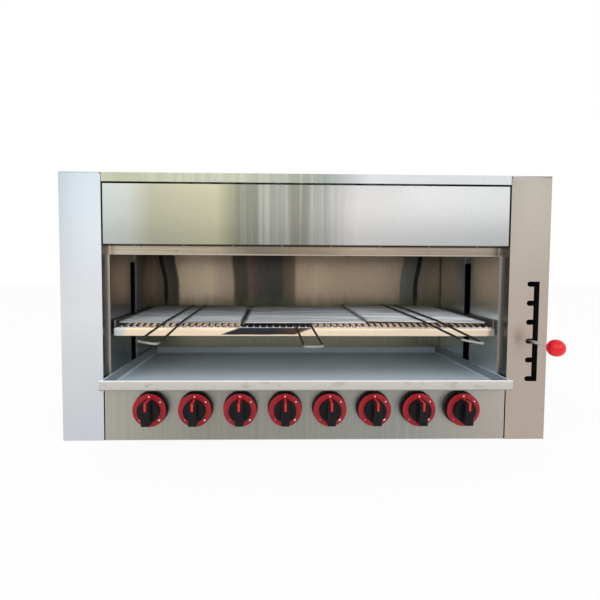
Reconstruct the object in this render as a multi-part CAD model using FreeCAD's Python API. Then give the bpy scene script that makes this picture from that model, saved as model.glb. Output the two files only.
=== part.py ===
import FreeCAD, Part
import math
import os

# Gas cheese melter (salamander grill) with eight ceiling burners.
# Millimetres. +X is to the right of someone facing the front, +Y runs into the
# object, +Z is up. The origin is the middle of the underside of the casing.

os.makedirs("parts", exist_ok=True)
V = FreeCAD.Vector

# Casing
casing_width = 1200.0
casing_depth = 500.0
casing_height = 656.0
casing_sheet = 1.2
top_sheet = 2.0
column_width = 100.0
column_return = 36.0
column_corner_radius = 6.0
rear_flange = 18.0
top_flange_height = 20.0
top_flange_side_gap = 1.0
cut_overrun = 1.0

# Hood front panel
hood_top_gap = 4.5
hood_height = 145.0
hood_side_gap = 4.0
hood_return = 18.0
hood_tab_depth = 12.0

# Cooking cavity
cavity_depth = 432.0
cavity_wall_inset = 6.0
cavity_wall_sheet = 1.0
cavity_wall_low = 100.0
cavity_wall_high = 560.0
cavity_wall_flange = 18.0
slot_setback = 219.0
slot_width = 42.0
slot_low = 150.0
slot_high = 466.0

# Front burner rail and its screws
rail_setback = 38.0
rail_low = 459.5
rail_face_height = 32.5
rail_flange_depth = 16.0
rail_end_gap = 0.5
rail_tab_width = 4.5
screw_count = 8
screw_height_above_rail_edge = 24.5
screw_head_radius = 3.6
screw_head_height = 2.4
screw_shank_radius = 2.0
screw_shank_length = 8.0
screw_hole_clearance = 0.1

# Burners
burner_count = 8
burner_pitch = 124.0
burner_width = 116.0
burner_height = 60.0
burner_rear_gap = 7.0
burner_wall = 1.5
burner_shelf_depth = 25.0
burner_shelf_above_rail = 10.5
tile_ledge = 4.0
tile_side_margin = 6.0
tile_end_margin = 18.0
tile_thickness = 13.0
mixer_outer_radius = 14.0
mixer_inner_radius = 12.0
mixer_length = 30.0
mixer_height_in_burner = 34.0

# Control panel and deck under the drip tray
panel_side_gap = 3.0
panel_height = 131.8
panel_flange = 25.0
panel_hole_radius = 10.5
deck_side_gap = 0.1
glide_height = 4.0
glide_width = 18.0
glide_from_side = 20.0
base_flange = 15.0

# Drip tray
tray_sheet = 1.2
tray_lip_overhang = 35.0
tray_lip_side_gap = 2.0
tray_lip_height = 25.0
tray_rim_height = 158.5
tray_rim_side_gap = 1.0
tray_rim_width = 5.0
tray_side_slope = 8.0
tray_rear_gap = 3.0
tray_lip_return = 9.0
rest_clearance = 0.3

# Notched lever channel in the right column
channel_left = 563.0
channel_width = 14.0
notch_depth = 17.0
notch_height = 13.0
notch_pitch = 47.4
notch_count = 6
notch_lowest = 153.9
notch_used = 3

# Lever
lever_rod_radius = 4.0
lever_tooth_clearance = 0.5
lever_ball_radius = 20.0
lever_ball_reach = 86.0
lever_ball_socket = 14.0
lever_block_size = 24.0
lever_pin_radius = 6.0
lever_pin_clearance = 0.05
lever_pin_end = 592.0

# Guide rods, carriages and their link behind the cavity
guide_rod_radius = 8.0
guide_rod_offset = 27.0
guide_rod_low = 100.0
guide_rod_high = 474.0
guide_clearance = 0.08
bracket_depth = 40.0
bracket_width = 45.0
lower_bracket_height = 12.0
upper_bracket_height = 30.0
carriage_width = 32.0
carriage_depth = 32.0
carriage_height = 60.0
carriage_middle = 263.0
carriage_arm_width = 28.0
carriage_arm_rise = 2.0
carriage_arm_height = 30.0
link_bar_thickness = 6.0
link_bar_height = 24.0
link_bar_inset = 4.0
cross_tube_radius = 10.0
cross_tube_wall = 2.0
cross_tube_behind_wall = 32.0

# Rack: front bar, frame and base grid
rack_setback = 40.0
rack_side_gap = 7.0
rack_bar_low = 254.5
rack_bar_height = 20.0
rack_bar_depth = 30.0
rack_bar_wall = 1.5
rack_ledge_depth = 58.0
rack_upstand_height = 7.0
rack_rear_gap = 7.0
frame_bar_thickness = 4.0
frame_side_low = 258.0
frame_side_height = 37.0
frame_rear_low = 262.0
frame_rear_height = 33.0
frame_ledge = 18.0
frame_ledge_thickness = 2.0
grid_strip_width = 4.0
grid_strip_thickness = 3.0
grid_rod_radius = 2.5
grid_rod_pitch = 16.7
grid_rod_count = 57
grid_cross_count = 4
grid_cross_front_gap = 12.0
grid_cross_rear_gap = 8.0
grid_side_gap = 1.5
grid_front_margin = 5.0
grid_front_strip_gap = 1.0
grid_front_strip_height = 3.6
grid_front_strip_overlap = 0.5
grid_rear_gap = 3.0
grid_bend_radius = 12.0
weld_overlap = 0.35
seat_gap = 0.05

# Grates with their handles
grate_width = 314.0
grate_length = 375.0
grate_frame_radius = 2.5
grate_wire_radius = 1.5
grate_wire_pitch = 12.0
grate_front_setback = 10.0
grate_middles = (-322.0, 0.0, 311.5)
grate_pulls = (0.0, 1.0, 0.0)
grate_turns_deg = (0.0, 0.0, 0.6)
grate_lifts = (0.0, 0.0, 5.4)
handle_sides = (1, -1, 1)
handle_shifts = (-13.3, -8.3, 6.5)
handle_widths = (41.5, 38.5, 41.0)
handle_sways = (0.0, 6.5, 0.0)
handle_skews = (10.0, 1.0, 22.0)
handle_tip_leans = (4.0, -1.0, 5.0)
handle_rod_radius = 2.5
handle_weld_overlap = 1.3
handle_rear_setbacks = (0.0, 8.0, 0.0)
handle_reach = 250.0
handle_droop = 9.0
handle_bend_radius = 8.0

# Gas supply
manifold_radius = 9.5
manifold_height = 50.0
manifold_setback = 38.0
manifold_left_end = -420.0
manifold_right_turn = 470.0
manifold_bend_radius = 24.0
manifold_bore_radius = 8.0
inlet_length = 25.0
inlet_radius = 10.5
inlet_hole_clearance = 1.0
valve_width = 26.0
valve_length = 38.0
valve_height = 28.0
valve_front_setback = 14.0
valve_nose_radius = 9.0
valve_nose_length = 9.0
valve_tail_radius = 8.0
valve_bore_radius = 4.05
valve_bore_end_wall = 8.0
feed_pipe_radius = 4.0
feed_pipe_bend_radius = 20.0
feed_pipe_lead = 46.0
feed_pipe_rear_gap = 12.0
feed_pipe_tip_radius = 8.0
feed_pipe_tip_length = 12.0
feed_pipe_tip_inside = 12.0

# Knobs
knob_count = 8
knob_pitch = 109.0
knob_height = 84.0
knob_travel = 5.0
bezel_outer_radius = 42.0
bezel_inner_radius = 40.9
bezel_plate = 1.5
bezel_height = 12.0
knob_stop_gap = 0.5
skirt_radius = 40.3
skirt_wall = 2.5
skirt_front = 26.0
ring_thickness = 3.0
ring_inner_radius = 26.5
disc_radius = 27.0
disc_height = 12.0
grip_width = 20.0
grip_half_length = 28.0
grip_front = 64.0
grip_corner_radius = 3.0
pointer_width = 5.0
pointer_depth = 1.0
pointer_end = 12.0
hub_radius = 8.0
spindle_radius = 3.98
spindle_seat = 14.0
plunger_length = 9.5
plunger_gap = 0.3

# Rear cover
vent_count = 11
vent_pitch = 84.0
vent_length = 60.0
vent_width = 6.0
vent_rows = 2
vent_row_pitch = 16.0
vent_from_top = 60.0
wall_hole_radius = 4.5
wall_hole_side_margin = 80.0
wall_hole_low = 90.0
wall_hole_high = 570.0
rear_screw_rows = 4
rear_screw_margin = 60.0

# Places worked out from the sizes above
half_width = casing_width / 2
front = -casing_depth / 2
back = casing_depth / 2
opening_half = half_width - column_width
cover_top = casing_height - top_sheet
top_flange_low = cover_top - top_flange_height
hood_high = top_flange_low - hood_top_gap
hood_low = hood_high - hood_height
hood_half = opening_half - hood_side_gap
wall_half = opening_half - cavity_wall_inset
wall_front = front + column_return
wall_back = front + cavity_depth
slot_middle_y = front + slot_setback
rail_front = front + rail_setback
rail_back = rail_front + casing_sheet
rail_half = wall_half - rail_end_gap
screw_height = rail_low + screw_height_above_rail_edge
burner_low = rail_low + burner_shelf_above_rail + casing_sheet
burner_back = wall_back - burner_rear_gap
mixer_height = burner_low + mixer_height_in_burner
panel_half = opening_half - panel_side_gap
deck_top = panel_height + casing_sheet
glide_top = deck_top + glide_height
tray_floor_low = glide_top + rest_clearance
tray_front = front - tray_lip_overhang
tray_lip_half = opening_half - tray_lip_side_gap
tray_rim_half = wall_half - tray_rim_side_gap
tray_back = wall_back - tray_rear_gap
notch_middles = [notch_lowest + notch_pitch * index for index in range(notch_count)]
notch_used_index = notch_count - 1 - notch_used
lever_height = (notch_middles[notch_used_index] - notch_height / 2
                + lever_rod_radius + rest_clearance)
lever_x = channel_left + lever_rod_radius + lever_tooth_clearance
guide_x = wall_half + cavity_wall_sheet + guide_rod_offset
carriage_inner = guide_x - carriage_width / 2
carriage_outer = guide_x + carriage_width / 2
carriage_back = slot_middle_y + carriage_depth / 2
carriage_low = carriage_middle - carriage_height / 2
link_bar_inner = carriage_inner + link_bar_inset
cross_tube_y = wall_back + cross_tube_behind_wall
rack_front = front + rack_setback
rack_back = wall_back - rack_rear_gap
rack_half = wall_half - rack_side_gap
rack_bar_top = rack_bar_low + rack_bar_height
rack_upstand_top = rack_bar_top + rack_upstand_height
rack_upstand_back = rack_front + rack_ledge_depth
frame_inner = rack_half - frame_bar_thickness
frame_rear_front = rack_back - frame_bar_thickness
grid_rod_z = rack_upstand_top + grid_rod_radius
grid_rod_front_z = rack_bar_top + grid_rod_radius
grid_strip_top = grid_rod_z - grid_rod_radius + weld_overlap
grate_frame_z = grid_rod_z + grid_rod_radius + rest_clearance + grate_frame_radius
handle_rise = grate_frame_radius + handle_rod_radius - handle_weld_overlap
grate_bend_y = rack_upstand_back - rack_bar_wall
grate_rear_y = rack_front + grate_front_setback + grate_length - grate_frame_radius
grate_rear_z = frame_rear_low + frame_rear_height + rest_clearance + grate_frame_radius
grate_slope_deg = math.degrees(math.asin((grate_rear_z - grate_frame_z)
                                         / (grate_rear_y - grate_bend_y)))
manifold_y = front + manifold_setback
valve_front = front + valve_front_setback
valve_back = valve_front + valve_length
feed_pipe_y = back - feed_pipe_rear_gap
knob_middles = [(index - (knob_count - 1) / 2) * knob_pitch for index in range(knob_count)]
burner_middles = [(index - (burner_count - 1) / 2) * burner_pitch
                  for index in range(burner_count)]


def block(x, y, z):
    """A box between two places on each axis, given in either order."""
    low = V(min(x), min(y), min(z))
    size = V(max(x), max(y), max(z)) - low
    return Part.makeBox(size.x, size.y, size.z, low)


def cylinder(radius, start, end):
    """A round bar from one point to another."""
    return Part.makeCylinder(radius, (end - start).Length, start, end - start)


def tube(outer_radius, inner_radius, start, end):
    """A round tube from one point to another."""
    return cylinder(outer_radius, start, end).cut(cylinder(inner_radius, start, end))


def joined(shapes):
    """One solid from shapes that touch or overlap."""
    return shapes[0].multiFuse(shapes[1:]).removeSplitter()


def without(shape, tools):
    """The shape with every tool taken out of it."""
    return shape.cut(Part.makeCompound(tools))


def around(middle, size):
    """The two ends of a length about its middle."""
    return (middle - size / 2, middle + size / 2)


def bent_bar(points, bend_radius, bar_radius):
    """A round bar with straight runs between the points and a smooth arc at each bend."""
    pieces = []
    start = points[0]
    for before, corner, after in zip(points, points[1:], points[2:]):
        into = (corner - before).normalize()
        out = (after - corner).normalize()
        turn = into.getAngle(out)
        setback = bend_radius * math.tan(turn / 2)
        arc_start = corner - into * setback
        inward = (out - into).normalize()
        centre = corner + inward * (bend_radius / math.cos(turn / 2))
        pieces.append(cylinder(bar_radius, start, arc_start))
        section = Part.Face(Part.Wire([Part.Circle(arc_start, into, bar_radius).toShape()]))
        pieces.append(section.revolve(centre, into.cross(out), math.degrees(turn)))
        start = corner + out * setback
    pieces.append(cylinder(bar_radius, start, points[-1]))
    return joined(pieces)


def channel_cutters():
    """The lever's upright channel and the notches beside it."""
    through = (front - cut_overrun, front + casing_sheet + cut_overrun)
    channel_low = notch_middles[0] - notch_height / 2
    channel_high = notch_middles[-1] + notch_height / 2
    cutters = [block((channel_left, channel_left + channel_width), through,
                     (channel_low, channel_high))]
    end_radius = notch_height / 2
    round_x = channel_left - notch_depth + end_radius
    for height in notch_middles:
        cutters.append(block((round_x, channel_left + cut_overrun), through,
                             around(height, notch_height)))
        cutters.append(cylinder(end_radius, V(round_x, through[0], height),
                                V(round_x, through[1], height)))
    return cutters


def rear_screw_places():
    """Where screws hold the rear cover to the side covers' rear flanges."""
    span = cover_top - 2 * rear_screw_margin
    heights = [rear_screw_margin + span * row / (rear_screw_rows - 1)
               for row in range(rear_screw_rows)]
    reach = half_width - casing_sheet - rear_flange / 2
    return [(side * reach, height) for side in (-1, 1) for height in heights]


def screw_holes_along_y(places, y):
    """Clearance holes for the screws, cut along Y."""
    radius = screw_shank_radius + screw_hole_clearance
    return [cylinder(radius, V(x, y[0] - cut_overrun, z), V(x, y[1] + cut_overrun, z))
            for x, z in places]


def side_cover(side):
    """Channel-shaped column front, and the outer side sheet that is welded on behind it."""
    outer = side * half_width
    inner = side * opening_half
    flange_y = (back - 2 * casing_sheet, back - casing_sheet)
    column_front = joined([
        block((inner, outer), (front, front + casing_sheet), (0, cover_top)),
        block((inner, inner + side * casing_sheet), (front, wall_front),
              (casing_sheet, cover_top)),
        block((outer - side * casing_sheet, outer), (front, wall_front), (0, cover_top)),
    ])
    outer_side = joined([
        block((outer - side * casing_sheet, outer), (wall_front, back - casing_sheet),
              (0, cover_top)),
        block((outer - side * (casing_sheet + rear_flange), outer), flange_y,
              (casing_sheet, cover_top)),
    ])
    corner = V(inner, front, cover_top)
    notch = block((inner - side * cut_overrun, inner + side * column_corner_radius),
                  (front - cut_overrun, wall_front + cut_overrun),
                  (cover_top - column_corner_radius, cover_top + cut_overrun))
    middle = corner + V(side * column_corner_radius, 0, -column_corner_radius)
    rounding = cylinder(column_corner_radius, middle - V(0, cut_overrun, 0),
                        middle + V(0, column_return + cut_overrun, 0))
    places = [place for place in rear_screw_places() if place[0] * side > 0]
    front_cutters = [notch.cut(rounding)]
    if side > 0:
        front_cutters += channel_cutters()
    return Part.makeCompound([
        without(column_front, front_cutters),
        without(outer_side, screw_holes_along_y(places, flange_y)),
    ])


def top_cover():
    """Flat top with a front flange that hangs between the columns."""
    flange_half = opening_half - top_flange_side_gap
    return joined([
        block((-half_width, half_width), (front, back), (cover_top, casing_height)),
        block((-flange_half, flange_half), (front, front + casing_sheet),
              (top_flange_low, cover_top)),
    ])


def hood_front_panel():
    """Upper front panel with folded edges and two tabs that meet the columns."""
    depth = (front, front + hood_return)
    pieces = [
        block((-hood_half, hood_half), (front, front + casing_sheet), (hood_low, hood_high)),
        block((-hood_half, hood_half), depth, (hood_high - casing_sheet, hood_high)),
        block((-hood_half, hood_half), depth, (hood_low, hood_low + casing_sheet)),
    ]
    for side in (-1, 1):
        edge = side * hood_half
        tab_y = (front + hood_return - casing_sheet, front + hood_return)
        pieces.append(block((edge - side * casing_sheet, edge), depth, (hood_low, hood_high)))
        pieces.append(block((edge - side * hood_tab_depth, side * opening_half), tab_y,
                            (hood_low, hood_high)))
    return joined(pieces)


def rail_screw_places():
    """Where a screw holds the front of each burner to the rail."""
    return [(x, screw_height) for x in burner_middles[:screw_count]]


def burner_rail():
    """Front rail of the burners, with end tabs that meet the columns."""
    rail_high = rail_low + rail_face_height
    pieces = [
        block((-rail_half, rail_half), (rail_front, rail_back), (rail_low, rail_high)),
        block((-rail_half, rail_half), (rail_front, rail_front + rail_flange_depth),
              (rail_low, rail_low + casing_sheet)),
    ]
    tab_y = (wall_front - casing_sheet, wall_front)
    for side in (-1, 1):
        end = side * rail_half
        inner = side * (rail_half - rail_tab_width)
        pieces.append(block((inner, side * opening_half), tab_y, (rail_low, rail_high)))
        pieces.append(block((inner, end), (tab_y[0], rail_back), (rail_low, rail_high)))
    return without(joined(pieces), screw_holes_along_y(rail_screw_places(),
                                                       (rail_front, rail_back)))


def screw(x, z, face_y, direction):
    """A pan-head screw whose head lies on a face; direction is the way it goes in."""
    into = V(0, direction, 0)
    seat = V(x, face_y, z)
    head = cylinder(screw_head_radius, seat - into * screw_head_height, seat)
    shank = cylinder(screw_shank_radius, seat, seat + into * screw_shank_length)
    return head.fuse(shank)


def cover_screws():
    """The identical screws of the burner rail and the rear cover."""
    screws = [screw(x, z, rail_front, 1) for x, z in rail_screw_places()]
    screws += [screw(x, z, back, -1) for x, z in rear_screw_places()]
    return Part.makeCompound(screws)


def inner_side_wall(side):
    """Cavity side with its front flange and the slot that the rack's arm moves in."""
    face = side * wall_half
    outside = face + side * cavity_wall_sheet
    height = (cavity_wall_low, cavity_wall_high)
    wall = joined([
        block((face, outside), (wall_front, wall_back), height),
        block((face, face + side * cavity_wall_flange),
              (wall_front, wall_front + cavity_wall_sheet), height),
    ])
    slot = block((face - side * cut_overrun, outside + side * cut_overrun),
                 around(slot_middle_y, slot_width), (slot_low, slot_high))
    return wall.cut(slot)


def back_inner_wall():
    """Cavity back, folded forward at its top to carry the burners."""
    outside = wall_half + cavity_wall_sheet
    shelf_half = wall_half - deck_side_gap
    return joined([
        block((-outside, outside), (wall_back, wall_back + cavity_wall_sheet),
              (cavity_wall_low, burner_low)),
        block((-shelf_half, shelf_half), (wall_back - burner_shelf_depth, wall_back),
              (burner_low - casing_sheet, burner_low)),
    ])


def rear_cover():
    """Outer back with vents, wall fixing holes and the gas inlet hole."""
    through = (back - casing_sheet, back)
    ends = (through[0] - cut_overrun, through[1] + cut_overrun)
    shape = block((-half_width, half_width), through, (0, cover_top))
    cutters = screw_holes_along_y(rear_screw_places(), through)
    for row in range(vent_rows):
        height = cover_top - vent_from_top - row * vent_row_pitch
        for column in range(vent_count):
            x = (column - (vent_count - 1) / 2) * vent_pitch
            cutters.append(block(around(x, vent_length), ends, around(height, vent_width)))
    reach = half_width - wall_hole_side_margin
    for x in (-reach, reach):
        for height in (wall_hole_low, wall_hole_high):
            cutters.append(cylinder(wall_hole_radius, V(x, ends[0], height),
                                    V(x, ends[1], height)))
    inlet = V(manifold_right_turn, 0, manifold_height)
    cutters.append(cylinder(inlet_radius + inlet_hole_clearance,
                            inlet + V(0, ends[0], 0), inlet + V(0, ends[1], 0)))
    return without(shape, cutters)


def control_panel():
    """Lower front panel with a hole for each knob's spindle."""
    depth = (front, front + panel_flange)
    shape = joined([
        block((-panel_half, panel_half), (front, front + casing_sheet),
              (casing_sheet, panel_height)),
        block((-panel_half, panel_half), depth, (panel_height - casing_sheet, panel_height)),
        block((-panel_half, panel_half), depth, (casing_sheet, 2 * casing_sheet)),
    ])
    holes = [cylinder(panel_hole_radius, V(x, front - cut_overrun, knob_height),
                      V(x, front + casing_sheet + cut_overrun, knob_height))
             for x in knob_middles]
    return without(shape, holes)


def base_pan():
    """Bottom plate with upturned sides."""
    inner = half_width - casing_sheet
    deep = (front + casing_sheet, back - casing_sheet)
    pieces = [block((-inner, inner), deep, (0, casing_sheet))]
    for side in (-1, 1):
        pieces.append(block((side * inner, side * (inner - casing_sheet)),
                            (deep[0], deep[1] - casing_sheet), (0, base_flange)))
    return joined(pieces)


def tray_deck():
    """Floor plate under the drip tray, with two raised glides."""
    half = wall_half - deck_side_gap
    deep = (front + casing_sheet, wall_back)
    pieces = [block((-half, half), deep, (panel_height, deck_top))]
    for side in (-1, 1):
        outer = side * (half - glide_from_side)
        pieces.append(block((outer, outer - side * glide_width), deep, (panel_height, glide_top)))
    return joined(pieces)


def tray_section():
    """Closed outline of the pan's side, from the rim down to the floor."""
    rim_in = tray_rim_half - tray_rim_width
    floor_half = rim_in - tray_side_slope
    floor_top = tray_floor_low + tray_sheet
    rim_low = tray_rim_height - tray_sheet
    half = [(floor_half, tray_floor_low), (rim_in, rim_low), (tray_rim_half, rim_low),
            (tray_rim_half, tray_rim_height), (rim_in - tray_sheet, tray_rim_height),
            (floor_half - tray_sheet, floor_top)]
    mirrored = [(-x, z) for x, z in reversed(half)]
    return half + mirrored


def drip_tray():
    """Pan with sloping sides, a rear wall and a deep front lip."""
    points = [V(x, tray_front + tray_sheet, z) for x, z in tray_section()]
    outline = Part.makePolygon(points + [points[0]])
    pan = Part.Face(outline).extrude(V(0, tray_back - tray_front - tray_sheet, 0))
    lip_low = tray_rim_height - tray_lip_height
    end_half = tray_rim_half - tray_rim_width - tray_side_slope
    lip = block((-tray_lip_half, tray_lip_half), (tray_front, tray_front + tray_sheet),
                (lip_low, tray_rim_height))
    lip_fold = block((-tray_lip_half, tray_lip_half), (tray_front, tray_front + tray_lip_return),
                     (lip_low, lip_low + tray_sheet))
    rear = block((-end_half, end_half), (tray_back - tray_sheet, tray_back),
                 (tray_floor_low, tray_rim_height))
    return joined([pan, lip, lip_fold, rear])


def guide_rods():
    """The two upright rods that the carriages run on."""
    return Part.makeCompound([
        cylinder(guide_rod_radius, V(side * guide_x, slot_middle_y, guide_rod_low),
                 V(side * guide_x, slot_middle_y, guide_rod_high))
        for side in (-1, 1)])


def guide_rod_brackets():
    """Blocks on the cavity sides that hold the guide rods at top and bottom."""
    blocks = []
    for side in (-1, 1):
        inner = side * (wall_half + cavity_wall_sheet)
        x = (inner, inner + side * bracket_width)
        y = around(slot_middle_y, bracket_depth)
        bore = cylinder(guide_rod_radius, V(side * guide_x, slot_middle_y, guide_rod_low),
                        V(side * guide_x, slot_middle_y, guide_rod_high))
        for z in ((guide_rod_low, guide_rod_low + lower_bracket_height),
                  (guide_rod_high - upper_bracket_height, guide_rod_high)):
            blocks.append(block(x, y, z).cut(bore))
    return Part.makeCompound(blocks)


def carriage(side):
    """Sliding block on a guide rod, with the arm that carries the rack."""
    y = around(slot_middle_y, carriage_depth)
    body = block((side * carriage_inner, side * carriage_outer), y,
                 around(carriage_middle, carriage_height))
    arm_low = frame_side_low + carriage_arm_rise
    arm = block((side * rack_half, side * carriage_inner),
                around(slot_middle_y, carriage_arm_width),
                (arm_low, arm_low + carriage_arm_height))
    bore = cylinder(guide_rod_radius + guide_clearance,
                    V(side * guide_x, slot_middle_y, carriage_low - cut_overrun),
                    V(side * guide_x, slot_middle_y,
                      carriage_low + carriage_height + cut_overrun))
    return joined([body, arm]).cut(bore)


def link_bars():
    """Flat bars from each carriage back to the cross tube."""
    return Part.makeCompound([
        block((side * link_bar_inner, side * (link_bar_inner + link_bar_thickness)),
              (carriage_back, cross_tube_y + cross_tube_radius),
              around(carriage_middle, link_bar_height))
        for side in (-1, 1)])


def cross_tube():
    """Tube behind the cavity that keeps the two carriages level."""
    return tube(cross_tube_radius, cross_tube_radius - cross_tube_wall,
                V(-link_bar_inner, cross_tube_y, carriage_middle),
                V(link_bar_inner, cross_tube_y, carriage_middle))


def rack_front_bar():
    """Polished box bar with a ledge and an upstand behind it that carry the grid."""
    bar_z = (rack_bar_low, rack_bar_top)
    bar_half = frame_inner - seat_gap
    box_y = (rack_front, rack_front + rack_bar_depth)
    box = block((-bar_half, bar_half), box_y, bar_z).cut(
        block((-bar_half - cut_overrun, bar_half + cut_overrun),
              (box_y[0] + rack_bar_wall, box_y[1] - rack_bar_wall),
              (bar_z[0] + rack_bar_wall, bar_z[1] - rack_bar_wall)))
    return joined([
        box,
        block((-rack_half, rack_half), (rack_front, rack_front + rack_bar_wall), bar_z),
        block((-bar_half, bar_half), (rack_front, rack_upstand_back),
              (rack_bar_top - rack_bar_wall, rack_bar_top)),
        block((-bar_half, bar_half), (rack_upstand_back - rack_bar_wall, rack_upstand_back),
              (rack_bar_top - rack_bar_wall, rack_upstand_top)),
    ])


def rack_frame():
    """Side and rear bars of the rack, with inner ledges for the grid."""
    rear_ledge_z = (rack_upstand_top - frame_ledge_thickness, rack_upstand_top)
    side_ledge_top = grid_strip_top - grid_strip_thickness
    side_ledge_z = (side_ledge_top - frame_ledge_thickness, side_ledge_top)
    rear_high = frame_rear_low + frame_rear_height
    side_y = (rack_front + rack_bar_wall + seat_gap, rack_back)
    pieces = [
        block((-rack_half, rack_half), (frame_rear_front, rack_back), (frame_rear_low, rear_high)),
        block((-frame_inner, frame_inner), (frame_rear_front - frame_ledge, rack_back),
              rear_ledge_z),
    ]
    for side in (-1, 1):
        pieces.append(block((side * frame_inner, side * rack_half), side_y,
                            (frame_side_low, frame_side_low + frame_side_height)))
        pieces.append(block((side * (frame_inner - frame_ledge), side * rack_half),
                            (rack_upstand_back + seat_gap, frame_rear_front), side_ledge_z))
    return joined(pieces)


def grid_rod(x):
    """One rod of the base grid, bent down at the front to rest on the ledge."""
    points = [V(x, rack_front + grid_front_margin, grid_rod_front_z),
              V(x, rack_upstand_back - rack_bar_wall, grid_rod_z),
              V(x, frame_rear_front - grid_rear_gap, grid_rod_z)]
    return bent_bar(points, grid_bend_radius, grid_rod_radius)


def rack_grid():
    """Welded base grid: rods from front to back on a few flat cross strips."""
    half = frame_inner - grid_side_gap
    first_y = rack_upstand_back + grid_cross_front_gap
    last_y = frame_rear_front - frame_ledge - grid_cross_rear_gap
    front_y = rack_front + grid_front_margin
    strips = [block((-half, half),
                    (rack_front + grid_front_strip_gap, front_y + grid_front_strip_overlap),
                    (rack_bar_top + seat_gap, rack_bar_top + grid_front_strip_height))]
    for index in range(grid_cross_count):
        y = first_y + (last_y - first_y) * index / (grid_cross_count - 1)
        strips.append(block((-half, half), around(y, grid_strip_width),
                            (grid_strip_top - grid_strip_thickness, grid_strip_top)))
    rods = [grid_rod((index - (grid_rod_count - 1) / 2) * grid_rod_pitch)
            for index in range(grid_rod_count)]
    return joined(strips + rods)


def handle_points(index):
    """Route of a grate's handle wire, in the grate's own place."""
    half_y = grate_length / 2 - grate_frame_radius
    left = handle_shifts[index] - handle_widths[index] / 2
    right = handle_shifts[index] + handle_widths[index] / 2
    sway = handle_sways[index]
    skew = handle_skews[index] / 2
    lean = handle_tip_leans[index] / 2
    rear_y = half_y - handle_rear_setbacks[index]
    tip_y = -half_y - handle_reach
    height = grate_frame_z + handle_sides[index] * handle_rise
    tip_z = height - handle_droop
    return [V(left, rear_y, height), V(left, -half_y, height),
            V(left + sway, tip_y + skew, tip_z + lean),
            V(right + sway, tip_y - skew, tip_z - lean),
            V(right, -half_y, height), V(right, rear_y, height)]


def grate_shape(index):
    """One loose grate about its own middle; its long handle wire lies over or under it."""
    half_x = grate_width / 2 - grate_frame_radius
    half_y = grate_length / 2 - grate_frame_radius
    corners = [V(-half_x, -half_y, grate_frame_z), V(half_x, -half_y, grate_frame_z),
               V(half_x, half_y, grate_frame_z), V(-half_x, half_y, grate_frame_z)]
    wires = [cylinder(grate_frame_radius, start, end)
             for start, end in zip(corners, corners[1:] + corners[:1])]
    wires += [Part.makeSphere(grate_frame_radius, corner) for corner in corners]
    wire_count = int(2 * half_y / grate_wire_pitch)
    for wire in range(1, wire_count):
        y = half_y * (2 * wire / wire_count - 1)
        wires.append(cylinder(grate_wire_radius, V(-half_x, y, grate_frame_z),
                              V(half_x, y, grate_frame_z)))
    wires.append(bent_bar(handle_points(index), handle_bend_radius, handle_rod_radius))
    return joined(wires)


def placed_grate(index):
    """A grate that rests on the rods and on the rear bar; a lifted one leans on its neighbour."""
    placed = grate_shape(index)
    lean_deg = math.degrees(math.asin(grate_lifts[index] / grate_width))
    placed.rotate(V(grate_width / 2, 0, grate_frame_z), V(0, 1, 0), lean_deg)
    placed.rotate(V(0, 0, 0), V(0, 0, 1), grate_turns_deg[index])
    middle_y = rack_front + grate_front_setback + grate_length / 2 - grate_pulls[index]
    placed.translate(V(grate_middles[index], middle_y, 0))
    placed.rotate(V(0, grate_bend_y, grate_frame_z), V(1, 0, 0), grate_slope_deg)
    return placed


def lever_pin():
    """Cross pin on the right carriage that the lever block slides along."""
    return cylinder(lever_pin_radius, V(carriage_outer, slot_middle_y, lever_height),
                    V(lever_pin_end, slot_middle_y, lever_height))


def lever_block():
    """Block on the cross pin that holds the lever rod."""
    body = block(around(lever_x, lever_block_size), around(slot_middle_y, lever_block_size),
                 around(lever_height, lever_block_size))
    bore = cylinder(lever_pin_radius + lever_pin_clearance,
                    V(carriage_outer, slot_middle_y, lever_height),
                    V(lever_pin_end, slot_middle_y, lever_height))
    return body.cut(bore)


def lever_rod():
    """Rod from the lever block out through the channel into the ball."""
    ball_y = front - lever_ball_reach
    return cylinder(lever_rod_radius,
                    V(lever_x, slot_middle_y - lever_block_size / 2, lever_height),
                    V(lever_x, ball_y + lever_ball_radius - lever_ball_socket, lever_height))


def lever_ball():
    """Ball knob with the socket for the rod."""
    ball_y = front - lever_ball_reach
    ball = Part.makeSphere(lever_ball_radius, V(lever_x, ball_y, lever_height))
    socket = cylinder(lever_rod_radius,
                      V(lever_x, ball_y + lever_ball_radius - lever_ball_socket, lever_height),
                      V(lever_x, front, lever_height))
    return ball.cut(socket)


def burner(x):
    """Burner box with an open window in its floor and a mixer tube at the rear."""
    wide = around(x, burner_width)
    deep = (rail_back, burner_back)
    high = (burner_low, burner_low + burner_height)
    shell = block(wide, deep, high).cut(
        block((wide[0] + burner_wall, wide[1] - burner_wall),
              (deep[0] + burner_wall, deep[1] - burner_wall),
              (high[0] + burner_wall, high[1] - burner_wall)))
    axis = V(x, 0, mixer_height)
    mixer = cylinder(mixer_outer_radius, axis + V(0, burner_back - burner_wall, 0),
                     axis + V(0, burner_back + mixer_length, 0))
    shell = shell.fuse(mixer)
    window_x = (wide[0] + tile_side_margin + tile_ledge, wide[1] - tile_side_margin - tile_ledge)
    window_y = (deep[0] + tile_end_margin + tile_ledge, deep[1] - tile_end_margin - tile_ledge)
    window = block(window_x, window_y, (high[0] - cut_overrun, high[0] + burner_wall + cut_overrun))
    bore = cylinder(mixer_inner_radius, axis + V(0, burner_back - burner_wall - cut_overrun, 0),
                    axis + V(0, burner_back + mixer_length + cut_overrun, 0))
    return without(shell, [window, bore] + screw_holes_along_y(
        [(x, screw_height)], (deep[0], deep[0] + burner_wall)))


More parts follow.
